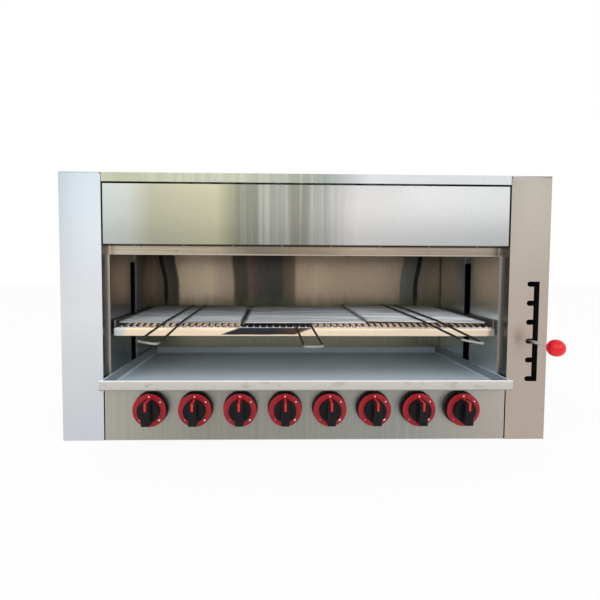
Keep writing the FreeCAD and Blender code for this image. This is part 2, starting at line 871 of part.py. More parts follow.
def burner_tiles():
    """Ceramic plates that lie on the window ledges of the burners."""
    tiles = []
    for x in burner_middles:
        half = burner_width / 2 - tile_side_margin
        tiles.append(block((x - half, x + half),
                           (rail_back + tile_end_margin, burner_back - tile_end_margin),
                           (burner_low + burner_wall, burner_low + burner_wall + tile_thickness)))
    return Part.makeCompound(tiles)


def manifold_points():
    """Route of the gas supply: along the front, then back and out of the rear."""
    return [V(manifold_left_end, manifold_y, manifold_height),
            V(manifold_right_turn, manifold_y, manifold_height),
            V(manifold_right_turn, back + inlet_length, manifold_height)]


def gas_manifold():
    """Supply pipe that feeds the valves and ends in the wider inlet stub at the rear."""
    inlet = V(manifold_right_turn, back + inlet_length, manifold_height)
    pipe = joined([bent_bar(manifold_points(), manifold_bend_radius, manifold_radius),
                   cylinder(inlet_radius, inlet - V(0, inlet_length, 0), inlet)])
    bore = cylinder(manifold_bore_radius, inlet - V(0, 2 * inlet_length, 0),
                    inlet + V(0, cut_overrun, 0))
    return pipe.cut(bore)


def gas_valve(x, manifold):
    """Brass valve that sits on the manifold behind its knob."""
    body = block(around(x, valve_width), (valve_front, valve_back),
                 around(knob_height, valve_height))
    axis = V(x, 0, knob_height)
    nose = cylinder(valve_nose_radius, axis + V(0, valve_front - valve_nose_length, 0),
                    axis + V(0, valve_front + valve_nose_length, 0))
    tail_y = manifold_y
    tail = cylinder(valve_tail_radius, V(x, tail_y, manifold_height),
                    V(x, tail_y, knob_height))
    bore = cylinder(valve_bore_radius,
                    axis + V(0, valve_front - valve_nose_length - cut_overrun, 0),
                    axis + V(0, valve_back - valve_bore_end_wall, 0))
    return joined([body, nose, tail]).cut(manifold).cut(bore)


def gas_valves():
    """All the valves, one behind each knob."""
    solid_pipe = bent_bar(manifold_points(), manifold_bend_radius, manifold_radius)
    return Part.makeCompound([gas_valve(x, solid_pipe) for x in knob_middles])


def feed_pipe(knob_x, burner_x):
    """Pipe from a valve, back under the deck and up into its burner."""
    tip_y = burner_back + mixer_length - feed_pipe_tip_inside
    points = [V(knob_x, valve_back, knob_height),
              V(knob_x, valve_back + feed_pipe_lead, knob_height),
              V(burner_x, wall_back, knob_height),
              V(burner_x, feed_pipe_y, knob_height),
              V(burner_x, feed_pipe_y, mixer_height),
              V(burner_x, tip_y, mixer_height)]
    pipe = bent_bar(points, feed_pipe_bend_radius, feed_pipe_radius)
    tip = cylinder(feed_pipe_tip_radius, V(burner_x, tip_y, mixer_height),
                   V(burner_x, tip_y + feed_pipe_tip_length, mixer_height))
    return pipe.fuse(tip)


def feed_pipes():
    """One feed pipe for each burner."""
    return Part.makeCompound([feed_pipe(knob_x, burner_x)
                              for knob_x, burner_x in zip(knob_middles, burner_middles)])


def knob_bezel(x):
    """Shallow cup on the panel that the knob's skirt moves in."""
    axis = V(x, 0, knob_height)
    outer = cylinder(bezel_outer_radius, axis + V(0, front - bezel_height, 0),
                     axis + V(0, front, 0))
    cup = cylinder(bezel_inner_radius, axis + V(0, front - bezel_height - cut_overrun, 0),
                   axis + V(0, front - bezel_plate, 0))
    hole = cylinder(panel_hole_radius, axis + V(0, front - bezel_height, 0),
                    axis + V(0, front + cut_overrun, 0))
    return without(outer, [cup, hole])


def knob_bezels():
    """All the bezels on the control panel."""
    return Part.makeCompound([knob_bezel(x) for x in knob_middles])


def valve_plunger(x):
    """Push pin inside a valve that moves in when the knob is pressed."""
    start = valve_back - valve_bore_end_wall - cut_overrun - knob_travel - plunger_length
    return cylinder(spindle_radius, V(x, start, knob_height),
                    V(x, start + plunger_length, knob_height))


def knob_body(x):
    """Skirt, disc and grip of a knob, with the seat for its spindle."""
    axis = V(x, 0, knob_height)
    skirt_back_y = front - bezel_plate - knob_travel - knob_stop_gap
    skirt_front_y = front - skirt_front
    ring_front_y = skirt_front_y - ring_thickness
    disc_front_y = ring_front_y - disc_height
    skirt = tube(skirt_radius, skirt_radius - skirt_wall, axis + V(0, skirt_front_y, 0),
                 axis + V(0, skirt_back_y, 0))
    face = cylinder(skirt_radius, axis + V(0, skirt_front_y, 0),
                    axis + V(0, skirt_front_y + skirt_wall, 0))
    hub = cylinder(hub_radius, axis + V(0, skirt_front_y, 0), axis + V(0, skirt_back_y, 0))
    disc = cylinder(disc_radius, axis + V(0, disc_front_y, 0), axis + V(0, skirt_front_y, 0))
    disc = disc.cut(tube(disc_radius + cut_overrun, ring_inner_radius,
                         axis + V(0, ring_front_y, 0), axis + V(0, skirt_front_y, 0)))
    grip = block(around(x, grip_width), (front - grip_front, ring_front_y),
                 around(knob_height, 2 * grip_half_length))
    grip_edges = [edge for edge in grip.Edges
                  if abs(edge.BoundBox.YMin - edge.BoundBox.YMax) > grip_width
                  or edge.BoundBox.YMax < front - grip_front + cut_overrun]
    grip = grip.makeFillet(grip_corner_radius, grip_edges)
    body = joined([skirt, face, hub, disc, grip])
    seat = cylinder(spindle_radius, axis + V(0, skirt_back_y - spindle_seat, 0),
                    axis + V(0, skirt_back_y + cut_overrun, 0))
    return body.cut(seat)


def knob_ring(x):
    """Coloured ring on the front of a knob's skirt."""
    axis = V(x, 0, knob_height)
    return tube(skirt_radius, ring_inner_radius,
                axis + V(0, front - skirt_front - ring_thickness, 0),
                axis + V(0, front - skirt_front, 0))


def knob_spindle(x):
    """Spindle from the knob through the panel into the valve."""
    axis = V(x, 0, knob_height)
    skirt_back_y = front - bezel_plate - knob_travel - knob_stop_gap
    plunger_start = valve_back - valve_bore_end_wall - cut_overrun - knob_travel - plunger_length
    return cylinder(spindle_radius, axis + V(0, skirt_back_y - spindle_seat, 0),
                    axis + V(0, plunger_start - plunger_gap, 0))


def knob(x):
    """Knob body, its ring and its spindle, which turn together."""
    return Part.makeCompound([knob_body(x), knob_ring(x), knob_spindle(x)])


def all_nodes():
    """Every piece of the object, by node name."""
    nodes = {
        "left_side_cover": side_cover(-1),
        "right_side_cover": side_cover(1),
        "top_cover": top_cover(),
        "hood_front_panel": hood_front_panel(),
        "burner_rail": burner_rail(),
        "cover_screws": cover_screws(),
        "left_inner_wall": inner_side_wall(-1),
        "right_inner_wall": inner_side_wall(1),
        "back_inner_wall": back_inner_wall(),
        "rear_cover": rear_cover(),
        "control_panel": control_panel(),
        "base_pan": base_pan(),
        "tray_deck": tray_deck(),
        "drip_tray": drip_tray(),
        "guide_rods": guide_rods(),
        "guide_rod_brackets": guide_rod_brackets(),
        "left_carriage": carriage(-1),
        "right_carriage": carriage(1),
        "link_bars": link_bars(),
        "cross_tube": cross_tube(),
        "rack_front_bar": rack_front_bar(),
        "rack_frame": rack_frame(),
        "rack_grid": rack_grid(),
        "lever_pin": lever_pin(),
        "lever_block": lever_block(),
        "lever_rod": lever_rod(),
        "lever_ball": lever_ball(),
        "burner_tiles": burner_tiles(),
        "gas_manifold": gas_manifold(),
        "gas_valves": gas_valves(),
        "feed_pipes": feed_pipes(),
        "knob_bezels": knob_bezels(),
    }
    for index, name in enumerate(("left_grate", "middle_grate", "right_grate")):
        nodes[name] = placed_grate(index)
    for index, x in enumerate(burner_middles):
        nodes["burner_%d" % (index + 1)] = burner(x)
    for index, x in enumerate(knob_middles):
        nodes["valve_plunger_%d" % (index + 1)] = valve_plunger(x)
        nodes["knob_%d" % (index + 1)] = knob(x)
    return nodes


for node_name, node_shape in all_nodes().items():
    if not node_shape.isValid():
        print("not valid:", node_name)
    print("%-20s solids %3d  volume %12.1f" % (node_name, len(node_shape.Solids),
                                              node_shape.Volume))
    node_shape.exportStep("parts/%s.step" % node_name)
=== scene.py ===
"""Looks of a gas cheese melter: steel finishes, wire rack, knobs, lever and stage."""

import math

import bmesh
import bpy
from bpy.props import FloatProperty, FloatVectorProperty, IntProperty, PointerProperty
from mathutils import Matrix, Vector


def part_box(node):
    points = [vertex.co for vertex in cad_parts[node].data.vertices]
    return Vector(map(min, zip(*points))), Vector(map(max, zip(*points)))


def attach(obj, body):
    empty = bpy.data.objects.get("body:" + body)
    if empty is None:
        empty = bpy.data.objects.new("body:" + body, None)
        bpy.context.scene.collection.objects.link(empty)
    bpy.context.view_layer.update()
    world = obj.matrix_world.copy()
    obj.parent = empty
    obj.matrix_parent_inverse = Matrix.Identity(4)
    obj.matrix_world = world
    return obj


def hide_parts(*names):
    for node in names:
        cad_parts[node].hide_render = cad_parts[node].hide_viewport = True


bl_info = {
    "name": "Cheese melter looks",
    "version": (1, 0, 0),
    "blender": (4, 5, 0),
    "location": "3D View > Sidebar > Cheese melter",
    "description": "Dresses the cheese melter's frame and sets its stage",
    "category": "Object",
}

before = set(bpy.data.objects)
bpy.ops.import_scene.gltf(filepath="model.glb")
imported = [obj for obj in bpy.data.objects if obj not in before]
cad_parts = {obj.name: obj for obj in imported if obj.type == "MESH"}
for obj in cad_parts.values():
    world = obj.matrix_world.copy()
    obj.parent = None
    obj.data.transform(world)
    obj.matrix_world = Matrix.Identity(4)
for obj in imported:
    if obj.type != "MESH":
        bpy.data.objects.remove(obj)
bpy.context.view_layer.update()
BURNERS = 8
KNOBS = 8


# Sizes and colours that a user would change

class SheetLook(bpy.types.PropertyGroup):
    """Folds and finish of the sheet steel; the light and olive steel colours are painted
    reflections of a pale room and of greenery.
    """

    fold_radius: FloatProperty(name="Fold radius", description="Rounding of the folded edges",
                               default=0.0016, unit="LENGTH")
    light: FloatVectorProperty(name="Light steel", description="Steel where it shows a pale room",
                               default=(0.66, 0.66, 0.65), subtype="COLOR", size=3)
    olive: FloatVectorProperty(name="Olive steel", description="Steel where it shows greenery",
                               default=(0.220, 0.220, 0.185), subtype="COLOR", size=3)


class WireLook(bpy.types.PropertyGroup):
    """Wires of the rack's grid and of the loose grates."""

    rod_radius: FloatProperty(name="Grid rod radius", description="Radius of the base grid's rods",
                              default=0.0025, unit="LENGTH")
    rod_pitch: FloatProperty(name="Grid rod pitch", description="Distance between the rods",
                             default=0.0167, unit="LENGTH")
    rod_count: IntProperty(name="Grid rods", description="Number of rods in the base grid",
                           default=57)
    grate_wire_radius: FloatProperty(name="Grate wire radius",
                                     description="Radius of a grate's thin wires",
                                     default=0.0015, unit="LENGTH")
    grate_wire_count: IntProperty(name="Grate wires", description="Number of thin wires in a grate",
                                  default=29)
    colour: FloatVectorProperty(name="Wire colour", description="Colour of the plated wire",
                                default=(0.60, 0.60, 0.60), subtype="COLOR", size=3)


class KnobLook(bpy.types.PropertyGroup):
    """Colours of the gas knobs and of the lever's ball."""

    ring: FloatVectorProperty(name="Ring", description="Colour of the ring on a knob",
                              default=(0.33, 0.008, 0.016), subtype="COLOR", size=3)
    pointer: FloatVectorProperty(name="Pointer", description="Colour of the pointer on a knob",
                                 default=(0.66, 0.01, 0.01), subtype="COLOR", size=3)
    body: FloatVectorProperty(name="Body", description="Colour of a knob's body",
                              default=(0.007, 0.007, 0.008), subtype="COLOR", size=3)
    ball: FloatVectorProperty(name="Ball", description="Colour of the ball on the lever",
                              default=(0.68, 0.000, 0.010), subtype="COLOR", size=3)


# Shader values that Python's operators work on

class Value:
    """An output socket of a finish, for use in plain expressions."""

    def __init__(self, finish, socket):
        self.finish = finish
        self.socket = socket

    def math(self, operation, first, second):
        return self.finish.node("ShaderNodeMath", {"operation": operation}, {0: first, 1: second})

    def __add__(self, other):
        return self.math("ADD", self, other)

    def __radd__(self, other):
        return self.math("ADD", other, self)

    def __sub__(self, other):
        return self.math("SUBTRACT", self, other)

    def __rsub__(self, other):
        return self.math("SUBTRACT", other, self)

    def __mul__(self, other):
        return self.math("MULTIPLY", self, other)

    def __rmul__(self, other):
        return self.math("MULTIPLY", other, self)

    def __truediv__(self, other):
        return self.math("DIVIDE", self, other)


class Finish:
    """A material that is built from nodes, ending in a principled surface."""

    def __init__(self, name):
        self.material = bpy.data.materials.new(name)
        self.material.use_nodes = True
        self.tree = self.material.node_tree
        self.tree.nodes.clear()
        self.place = self.node("ShaderNodeTexCoord", output="Object")

    def node(self, kind, settings=None, inputs=None, output=0):
        """Adds a node with its settings and its sockets' values or links."""
        made = self.tree.nodes.new(kind)
        for key, value in (settings or {}).items():
            if key == "stops":
                self.set_stops(made.color_ramp, value)
            else:
                setattr(made, key, value)
        for key, value in (inputs or {}).items():
            if isinstance(value, Value):
                self.tree.links.new(value.socket, made.inputs[key])
            else:
                made.inputs[key].default_value = value
        return Value(self, made.outputs[output]) if len(made.outputs) else made

    @staticmethod
    def set_stops(ramp, stops):
        while len(ramp.elements) < len(stops):
            ramp.elements.new(1.0)
        for element, (position, colour) in zip(ramp.elements, stops):
            element.position = position
            element.color = (*colour, 1.0)

    def axis(self, index):
        """One coordinate of the point on the piece, in metres."""
        return self.node("ShaderNodeSeparateXYZ", inputs={0: self.place}, output=index)

    def stretched(self, scale):
        return self.node("ShaderNodeVectorMath", {"operation": "MULTIPLY"},
                         {0: self.place, 1: scale})

    def noise(self, scale, detail=2.0, roughness=0.5, distortion=0.0):
        """Noise whose frequency along each axis is given per metre."""
        return self.node("ShaderNodeTexNoise", {"noise_dimensions": "3D"},
                         {"Vector": self.stretched(scale), "Scale": 1.0, "Detail": detail,
                          "Roughness": roughness, "Distortion": distortion})

    def ramp(self, value, stops):
        """Colours that follow a value from 0 to 1."""
        return self.node("ShaderNodeValToRGB", {"stops": stops}, {0: value})

    def step(self, value, low, high):
        """A smooth step from 0 at low to 1 at high."""
        return self.node("ShaderNodeMapRange", {"interpolation_type": "SMOOTHSTEP", "clamp": True},
                         {"Value": value, "From Min": low, "From Max": high})

    def band(self, value, low, high, soft):
        """1 between low and high, fading to 0 over a soft edge."""
        return (self.step(value, low - soft, low + soft)
                * (1.0 - self.step(value, high - soft, high + soft)))

    def mix(self, factor, first, second, blend="MIX"):
        """Mixes two colours."""
        return self.node("ShaderNodeMix", {"data_type": "RGBA", "blend_type": blend},
                         {0: factor, 6: self.rgba(first), 7: self.rgba(second)}, output=2)

    @staticmethod
    def rgba(colour):
        return colour if isinstance(colour, Value) else (*colour, 1.0)

    def bump(self, height, strength, distance):
        return self.node("ShaderNodeBump", inputs={"Strength": strength, "Distance": distance,
                                                   "Height": height})

    def surface(self, colour, **inputs):
        """Ends the finish and gives back its material."""
        values = {"Base Color": self.rgba(colour)}
        values.update({key.replace("_", " "): value for key, value in inputs.items()})
        shader = self.node("ShaderNodeBsdfPrincipled", inputs=values)
        self.node("ShaderNodeOutputMaterial", inputs={"Surface": shader})
        return self.material


def spots(finish, per_metre, amount):
    """Small sparse marks, 1 where there is one."""
    noise = finish.noise((per_metre, per_metre, per_metre), detail=1.0)
    return finish.step(noise, amount, amount + 0.03)


def brushed_steel(name, tint, grain=(8.0, 8.0, 2400.0), metallic=0.85, roughness=0.34,
                  marks=0.76, wear=0.10):
    """Brushed sheet: a tint that follows the place, fine grain lines, marks and scratches."""
    finish = Finish(name)
    colour = tint(finish) if callable(tint) else tint
    cloud = finish.noise((5.0, 5.0, 3.0), detail=3.0)
    lines = finish.noise(grain, detail=2.0, roughness=0.6)
    colour = finish.mix(cloud * wear, colour, (0.30, 0.29, 0.27))
    colour = finish.mix(lines * 0.22, colour, (0.92, 0.92, 0.90), blend="MULTIPLY")
    dark = spots(finish, 95.0, marks) * 0.45
    colour = finish.mix(dark, colour, (0.13, 0.12, 0.11))
    scratch = finish.noise((60.0, 60.0, 900.0), detail=0.0, distortion=0.6)
    scratch = finish.step(scratch, 0.73, 0.78)
    gloss = roughness + (lines - 0.5) * 0.16 + (cloud - 0.5) * 0.10 - scratch * 0.12
    height = lines * 0.5 + scratch
    return finish.surface(colour, Metallic=metallic, Roughness=gloss,
                          Normal=finish.bump(height, 0.10, 0.0002))


def along(axis, stops, waver=0.05, streaks=None):
    """A tint that changes along one axis; stops are places in metres with their colours.

    streaks gives the stretch, from and to, that has pale upright streaks, and their strength.
    """
    low = stops[0][0]
    span = stops[-1][0] - low

    def tint(finish):
        drift = finish.noise((2.0, 2.0, 1.2), detail=1.0) - 0.5
        share = (finish.axis(axis) + drift * waver - low) / span
        colour = finish.ramp(share, [((place - low) / span, tone) for place, tone in stops])
        if not streaks:
            return colour
        start, end, strength = streaks
        folds = finish.step(finish.noise((85.0, 8.0, 1.2), detail=2.0), 0.38, 0.68)
        stretch = finish.band(finish.axis(axis), start, end, 0.05)
        return finish.mix(folds * stretch * strength, colour, (0.56, 0.56, 0.55))
    return tint


def back_wall_tint(finish):
    """Upright bands of dim and bright steel, as the open front is mirrored in the wall."""
    height = finish.axis(2)
    x = finish.axis(0)
    streak = finish.noise((70.0, 8.0, 1.6), detail=3.0) - 0.5
    place = x - finish.step(height, 0.365, 0.475) * x * 0.036 + streak * 0.006
    stops = [
        (-0.500, (0.165, 0.125, 0.090)), (-0.462, (0.105, 0.080, 0.060)),
        (-0.418, (0.0397, 0.0346, 0.0282)), (-0.407, (0.0397, 0.0346, 0.0282)),
        (-0.401, (0.371, 0.294, 0.205)), (-0.292, (0.384, 0.307, 0.211)),
        (-0.262, (0.301, 0.23, 0.173)), (-0.222, (0.256, 0.192, 0.138)),
        (-0.212, (0.044, 0.038, 0.028)), (-0.172, (0.038, 0.032, 0.023)),
        (-0.165, (0.085, 0.052, 0.042)), (-0.135, (0.048, 0.037, 0.032)),
        (-0.110, (0.036, 0.033, 0.029)), (-0.055, (0.034, 0.030, 0.027)),
        (-0.043, (0.070, 0.053, 0.039)), (-0.012, (0.108, 0.078, 0.055)),
        (-0.002, (0.294, 0.218, 0.157)), (0.060, (0.346, 0.262, 0.179)),
        (0.130, (0.307, 0.227, 0.16)), (0.270, (0.275, 0.211, 0.15)),
        (0.330, (0.23, 0.182, 0.134)), (0.350, (0.211, 0.166, 0.128)),
        (0.355, (0.08, 0.08, 0.0736)), (0.402, (0.0704, 0.0704, 0.064)),
        (0.425, (0.118, 0.0992, 0.0768)), (0.500, (0.112, 0.096, 0.0736))]
    colour = finish.ramp(place + 0.5, [(start + 0.5, tone) for start, tone in stops])
    # Painted shade: two near-black upright bands, where slots in the wall show only shade.
    slots = (finish.band(place, -0.455, -0.443, 0.002)
             + finish.band(place, 0.400, 0.415, 0.0015))
    colour = finish.mix(slots, colour, (0.004, 0.004, 0.005))
    # Painted shade: the wall darkens into its two upright corners.
    corner_shade = (1.0 - finish.step(x, -0.496, -0.494)) + finish.step(x, 0.492, 0.494)
    colour = finish.mix(corner_shade * 0.9, colour, (0.015, 0.014, 0.013))
    # Painted reflection: the wall's lower part, down to the rack, takes a dim greenish tone with a
    # wavering upper edge.
    edge_waver = finish.noise((34.0, 5.0, 12.0), detail=2.0)
    low = 1.0 - finish.step(height + (edge_waver - 0.5) * 0.06, 0.292, 0.345)
    colour = finish.mix(low * 0.62, colour, (0.095, 0.108, 0.058))
    # Painted reflection: below the rack the wall takes a paler, warmer tone.
    under = 1.0 - finish.step(height, 0.24, 0.26)
    return finish.mix(under * 0.85, colour, (0.27, 0.262, 0.19))


def side_wall_tint(upper, lower, rear, rim_highlight_spans):
    """Painted light on a mirroring steel wall: one tone up high, a cooler one low down, another
    towards the rear, and pale painted highlights along the edges of the arm's slot.
    """
    def tint(finish):
        height = finish.axis(2)
        depth = finish.axis(1)
        colour = finish.mix(finish.step(height, 0.285, 0.345), lower, upper)
        colour = finish.mix(finish.step(depth, 0.165, 0.180), colour, rear)
        rim_highlight = None
        for low, high in rim_highlight_spans:
            band = finish.band(depth, low, high, 0.0012)
            rim_highlight = band if rim_highlight is None else rim_highlight + band
        # Painted highlight: pale blue lines along the slot's edges, between two heights.
        return finish.mix(rim_highlight * finish.band(height, 0.150, 0.466, 0.002), colour,
                          (0.62, 0.72, 0.84))
    return tint


def rail_tint(finish):
    """Golden steel with stains and a painted reflection along its length that brightens its left
    end, a painted highlight along its lower edge and painted shade along its top, under the hood.
    """
    x = finish.axis(0)
    z = finish.axis(2)
    cloud = finish.noise((14.0, 14.0, 60.0), detail=2.0) - 0.5
    # Tone along the rail: partly stains, partly painted reflection.
    colour = finish.ramp(x + cloud * 0.12 + 0.5, [
        (0.00, (0.60, 0.54, 0.43)), (0.10, (0.50, 0.435, 0.31)), (0.28, (0.44, 0.375, 0.26)),
        (0.37, (0.20, 0.16, 0.115)), (0.55, (0.30, 0.235, 0.155)), (0.62, (0.46, 0.365, 0.27)),
        (0.80, (0.40, 0.33, 0.255)), (1.00, (0.37, 0.305, 0.24))])
    lines = finish.noise((3.0, 3.0, 420.0), detail=1.0)
    colour = finish.mix(finish.step(lines, 0.45, 0.60) * 0.45, colour, (0.22, 0.175, 0.12))
    # Painted highlight along the lower edge.
    colour = finish.mix(1.0 - finish.step(z, 0.4615, 0.4625), colour, (0.56, 0.50, 0.42))
    # Painted shade along the top, under the hood.
    return finish.mix(finish.step(z, 0.4806, 0.4820), colour, (0.045, 0.036, 0.030))


def tray_tint(finish):
    """Steel with a painted reflection of the sky in front, painted shade towards the back, and
    painted shade on its sloping sides.
    """
    x = finish.axis(0)
    colour = along(1, [
        (-0.285, (0.76, 0.89, 1.0)), (-0.15, (0.76, 0.89, 1.0)), (-0.02, (0.76, 0.88, 0.98)),
        (0.10, (0.62, 0.72, 0.79)), (0.18, (0.42, 0.48, 0.53))])(finish)
    # Painted shade on the sloping sides.
    slope_shade = (finish.band(x, -0.4885, -0.4805, 0.001) + finish.band(x, 0.4805, 0.4885, 0.001))
    return finish.mix(slope_shade * 0.8, colour, (0.16, 0.19, 0.22))


def lip_tint(finish):
    """Pale steel with a few stains, a painted highlight along its upper edge and painted shade
    along its lower one.
    """
    z = finish.axis(2)
    stain = finish.step(finish.noise((26.0, 26.0, 60.0), detail=2.0), 0.56, 0.70)
    colour = finish.mix(stain * 0.45, (0.56, 0.54, 0.50), (0.36, 0.32, 0.28))
    # Painted highlight along the upper edge.
    colour = finish.mix(finish.step(z, 0.1552, 0.1568), colour, (0.84, 0.84, 0.84))
    # Painted shade along the lower edge.
    return finish.mix(1.0 - finish.step(z, 0.1345, 0.1375), colour, (0.27, 0.25, 0.23))


def bar_tint(finish):
    """Polished steel painted with what it mirrors: cream tones, and a dark curved shape where it
    mirrors a person-high gap.
    """
    x = finish.axis(0)
    z = finish.axis(2)
    rise = (z - 0.2545) / 0.020
    wave = finish.noise((16.0, 16.0, 60.0), detail=1.0) - 0.5
    left = finish.step(x + wave * 0.016 - rise * 0.055, -0.232, -0.222)
    right = 1.0 - finish.step(x + wave * 0.010 - rise * 0.050, -0.045, -0.028)
    foot = finish.step(rise + wave * 0.25, 0.10, 0.22)
    dark = left * right * foot
    cream = finish.ramp(x - rise * 0.006 + 0.5, [
        (0.00, (0.52, 0.54, 0.58)), (0.030, (0.58, 0.59, 0.60)), (0.042, (0.84, 0.67, 0.49)),
        (0.25, (0.86, 0.69, 0.52)), (0.60, (0.84, 0.68, 0.51)), (0.965, (0.72, 0.59, 0.46)),
        (0.975, (0.34, 0.25, 0.19)), (0.984, (0.70, 0.66, 0.62))])
    # Tones of the dark curved shape, a painted reflection.
    mirrored_gap_tone = finish.ramp(x + 0.5, [
        (0.25, (0.020, 0.020, 0.028)), (0.42, (0.020, 0.020, 0.028)),
        (0.46, (0.055, 0.034, 0.028)), (0.52, (0.070, 0.042, 0.034))])
    return finish.mix(dark, cream, mirrored_gap_tone)


def plastic(name, colour, roughness=0.4, grain=0.06, shine=0.3):
    """Moulded plastic with a fine grain and slightly rubbed patches."""
    finish = Finish(name)
    fine = finish.noise((2600.0, 2600.0, 2600.0), detail=1.0)
    patch = finish.noise((45.0, 45.0, 45.0), detail=2.0)
    pale = tuple(min(1.0, part * 1.4 + 0.004) for part in colour)
    tone = finish.mix(finish.step(patch, 0.45, 0.75) * 0.5, colour, pale)
    gloss = roughness + (patch - 0.5) * 0.18
    return finish.surface(tone, Specular_IOR_Level=shine, Roughness=gloss,
                          Normal=finish.bump(fine, grain, 0.0001))


def plated_wire(name, stops, metallic=0.7, sides=None):
    """Plated wire whose tone follows its place, with duller stretches along each wire."""
    finish = Finish(name)
    patch = finish.noise((5.0, 130.0, 40.0), detail=2.0)
    fine = finish.noise((700.0, 700.0, 700.0), detail=1.0)
    tone = along(1, stops, waver=0.0)(finish)
    if sides:
        tone = finish.mix(1.0, tone, along(0, sides, waver=0.0)(finish), blend="MULTIPLY")
    tone = finish.mix(finish.step(patch, 0.42, 0.62), tone, (0.62, 0.62, 0.62),
                      blend="MULTIPLY")
    return finish.surface(tone, Metallic=metallic, Roughness=0.36 + patch * 0.22,
                          Normal=finish.bump(fine, 0.15, 0.0001))


def tile_finish():
    """Porous ceramic plate with rows of small burner ports."""
    finish = Finish("ceramic_plate")
    pitch = 0.0046
    rows = finish.node("ShaderNodeVectorMath", {"operation": "WRAP"},
                       {0: finish.place, 1: (pitch, pitch, 1.0), 2: (0.0, 0.0, -1.0)})
    offset = finish.node("ShaderNodeVectorMath", {"operation": "SUBTRACT"},
                         {0: rows, 1: (pitch / 2, pitch / 2, 0.0)})
    flat = finish.node("ShaderNodeVectorMath", {"operation": "MULTIPLY"},
                       {0: offset, 1: (1.0, 1.0, 0.0)})
    reach = finish.node("ShaderNodeVectorMath", {"operation": "LENGTH"}, {0: flat},
                        output="Value")
    shaded_port = 1.0 - finish.step(reach, 0.0009, 0.0013)
    cloud = finish.noise((30.0, 30.0, 30.0), detail=3.0)
    clay = finish.mix(cloud, (0.66, 0.60, 0.50), (0.78, 0.74, 0.66))
    # Painted shade: the burner ports are dark dots; the same mask also bumps them.
    clay = finish.mix(shaded_port, clay, (0.06, 0.05, 0.045))
    return finish.surface(clay, Roughness=0.92, Normal=finish.bump(1.0 - shaded_port, 0.6, 0.001))


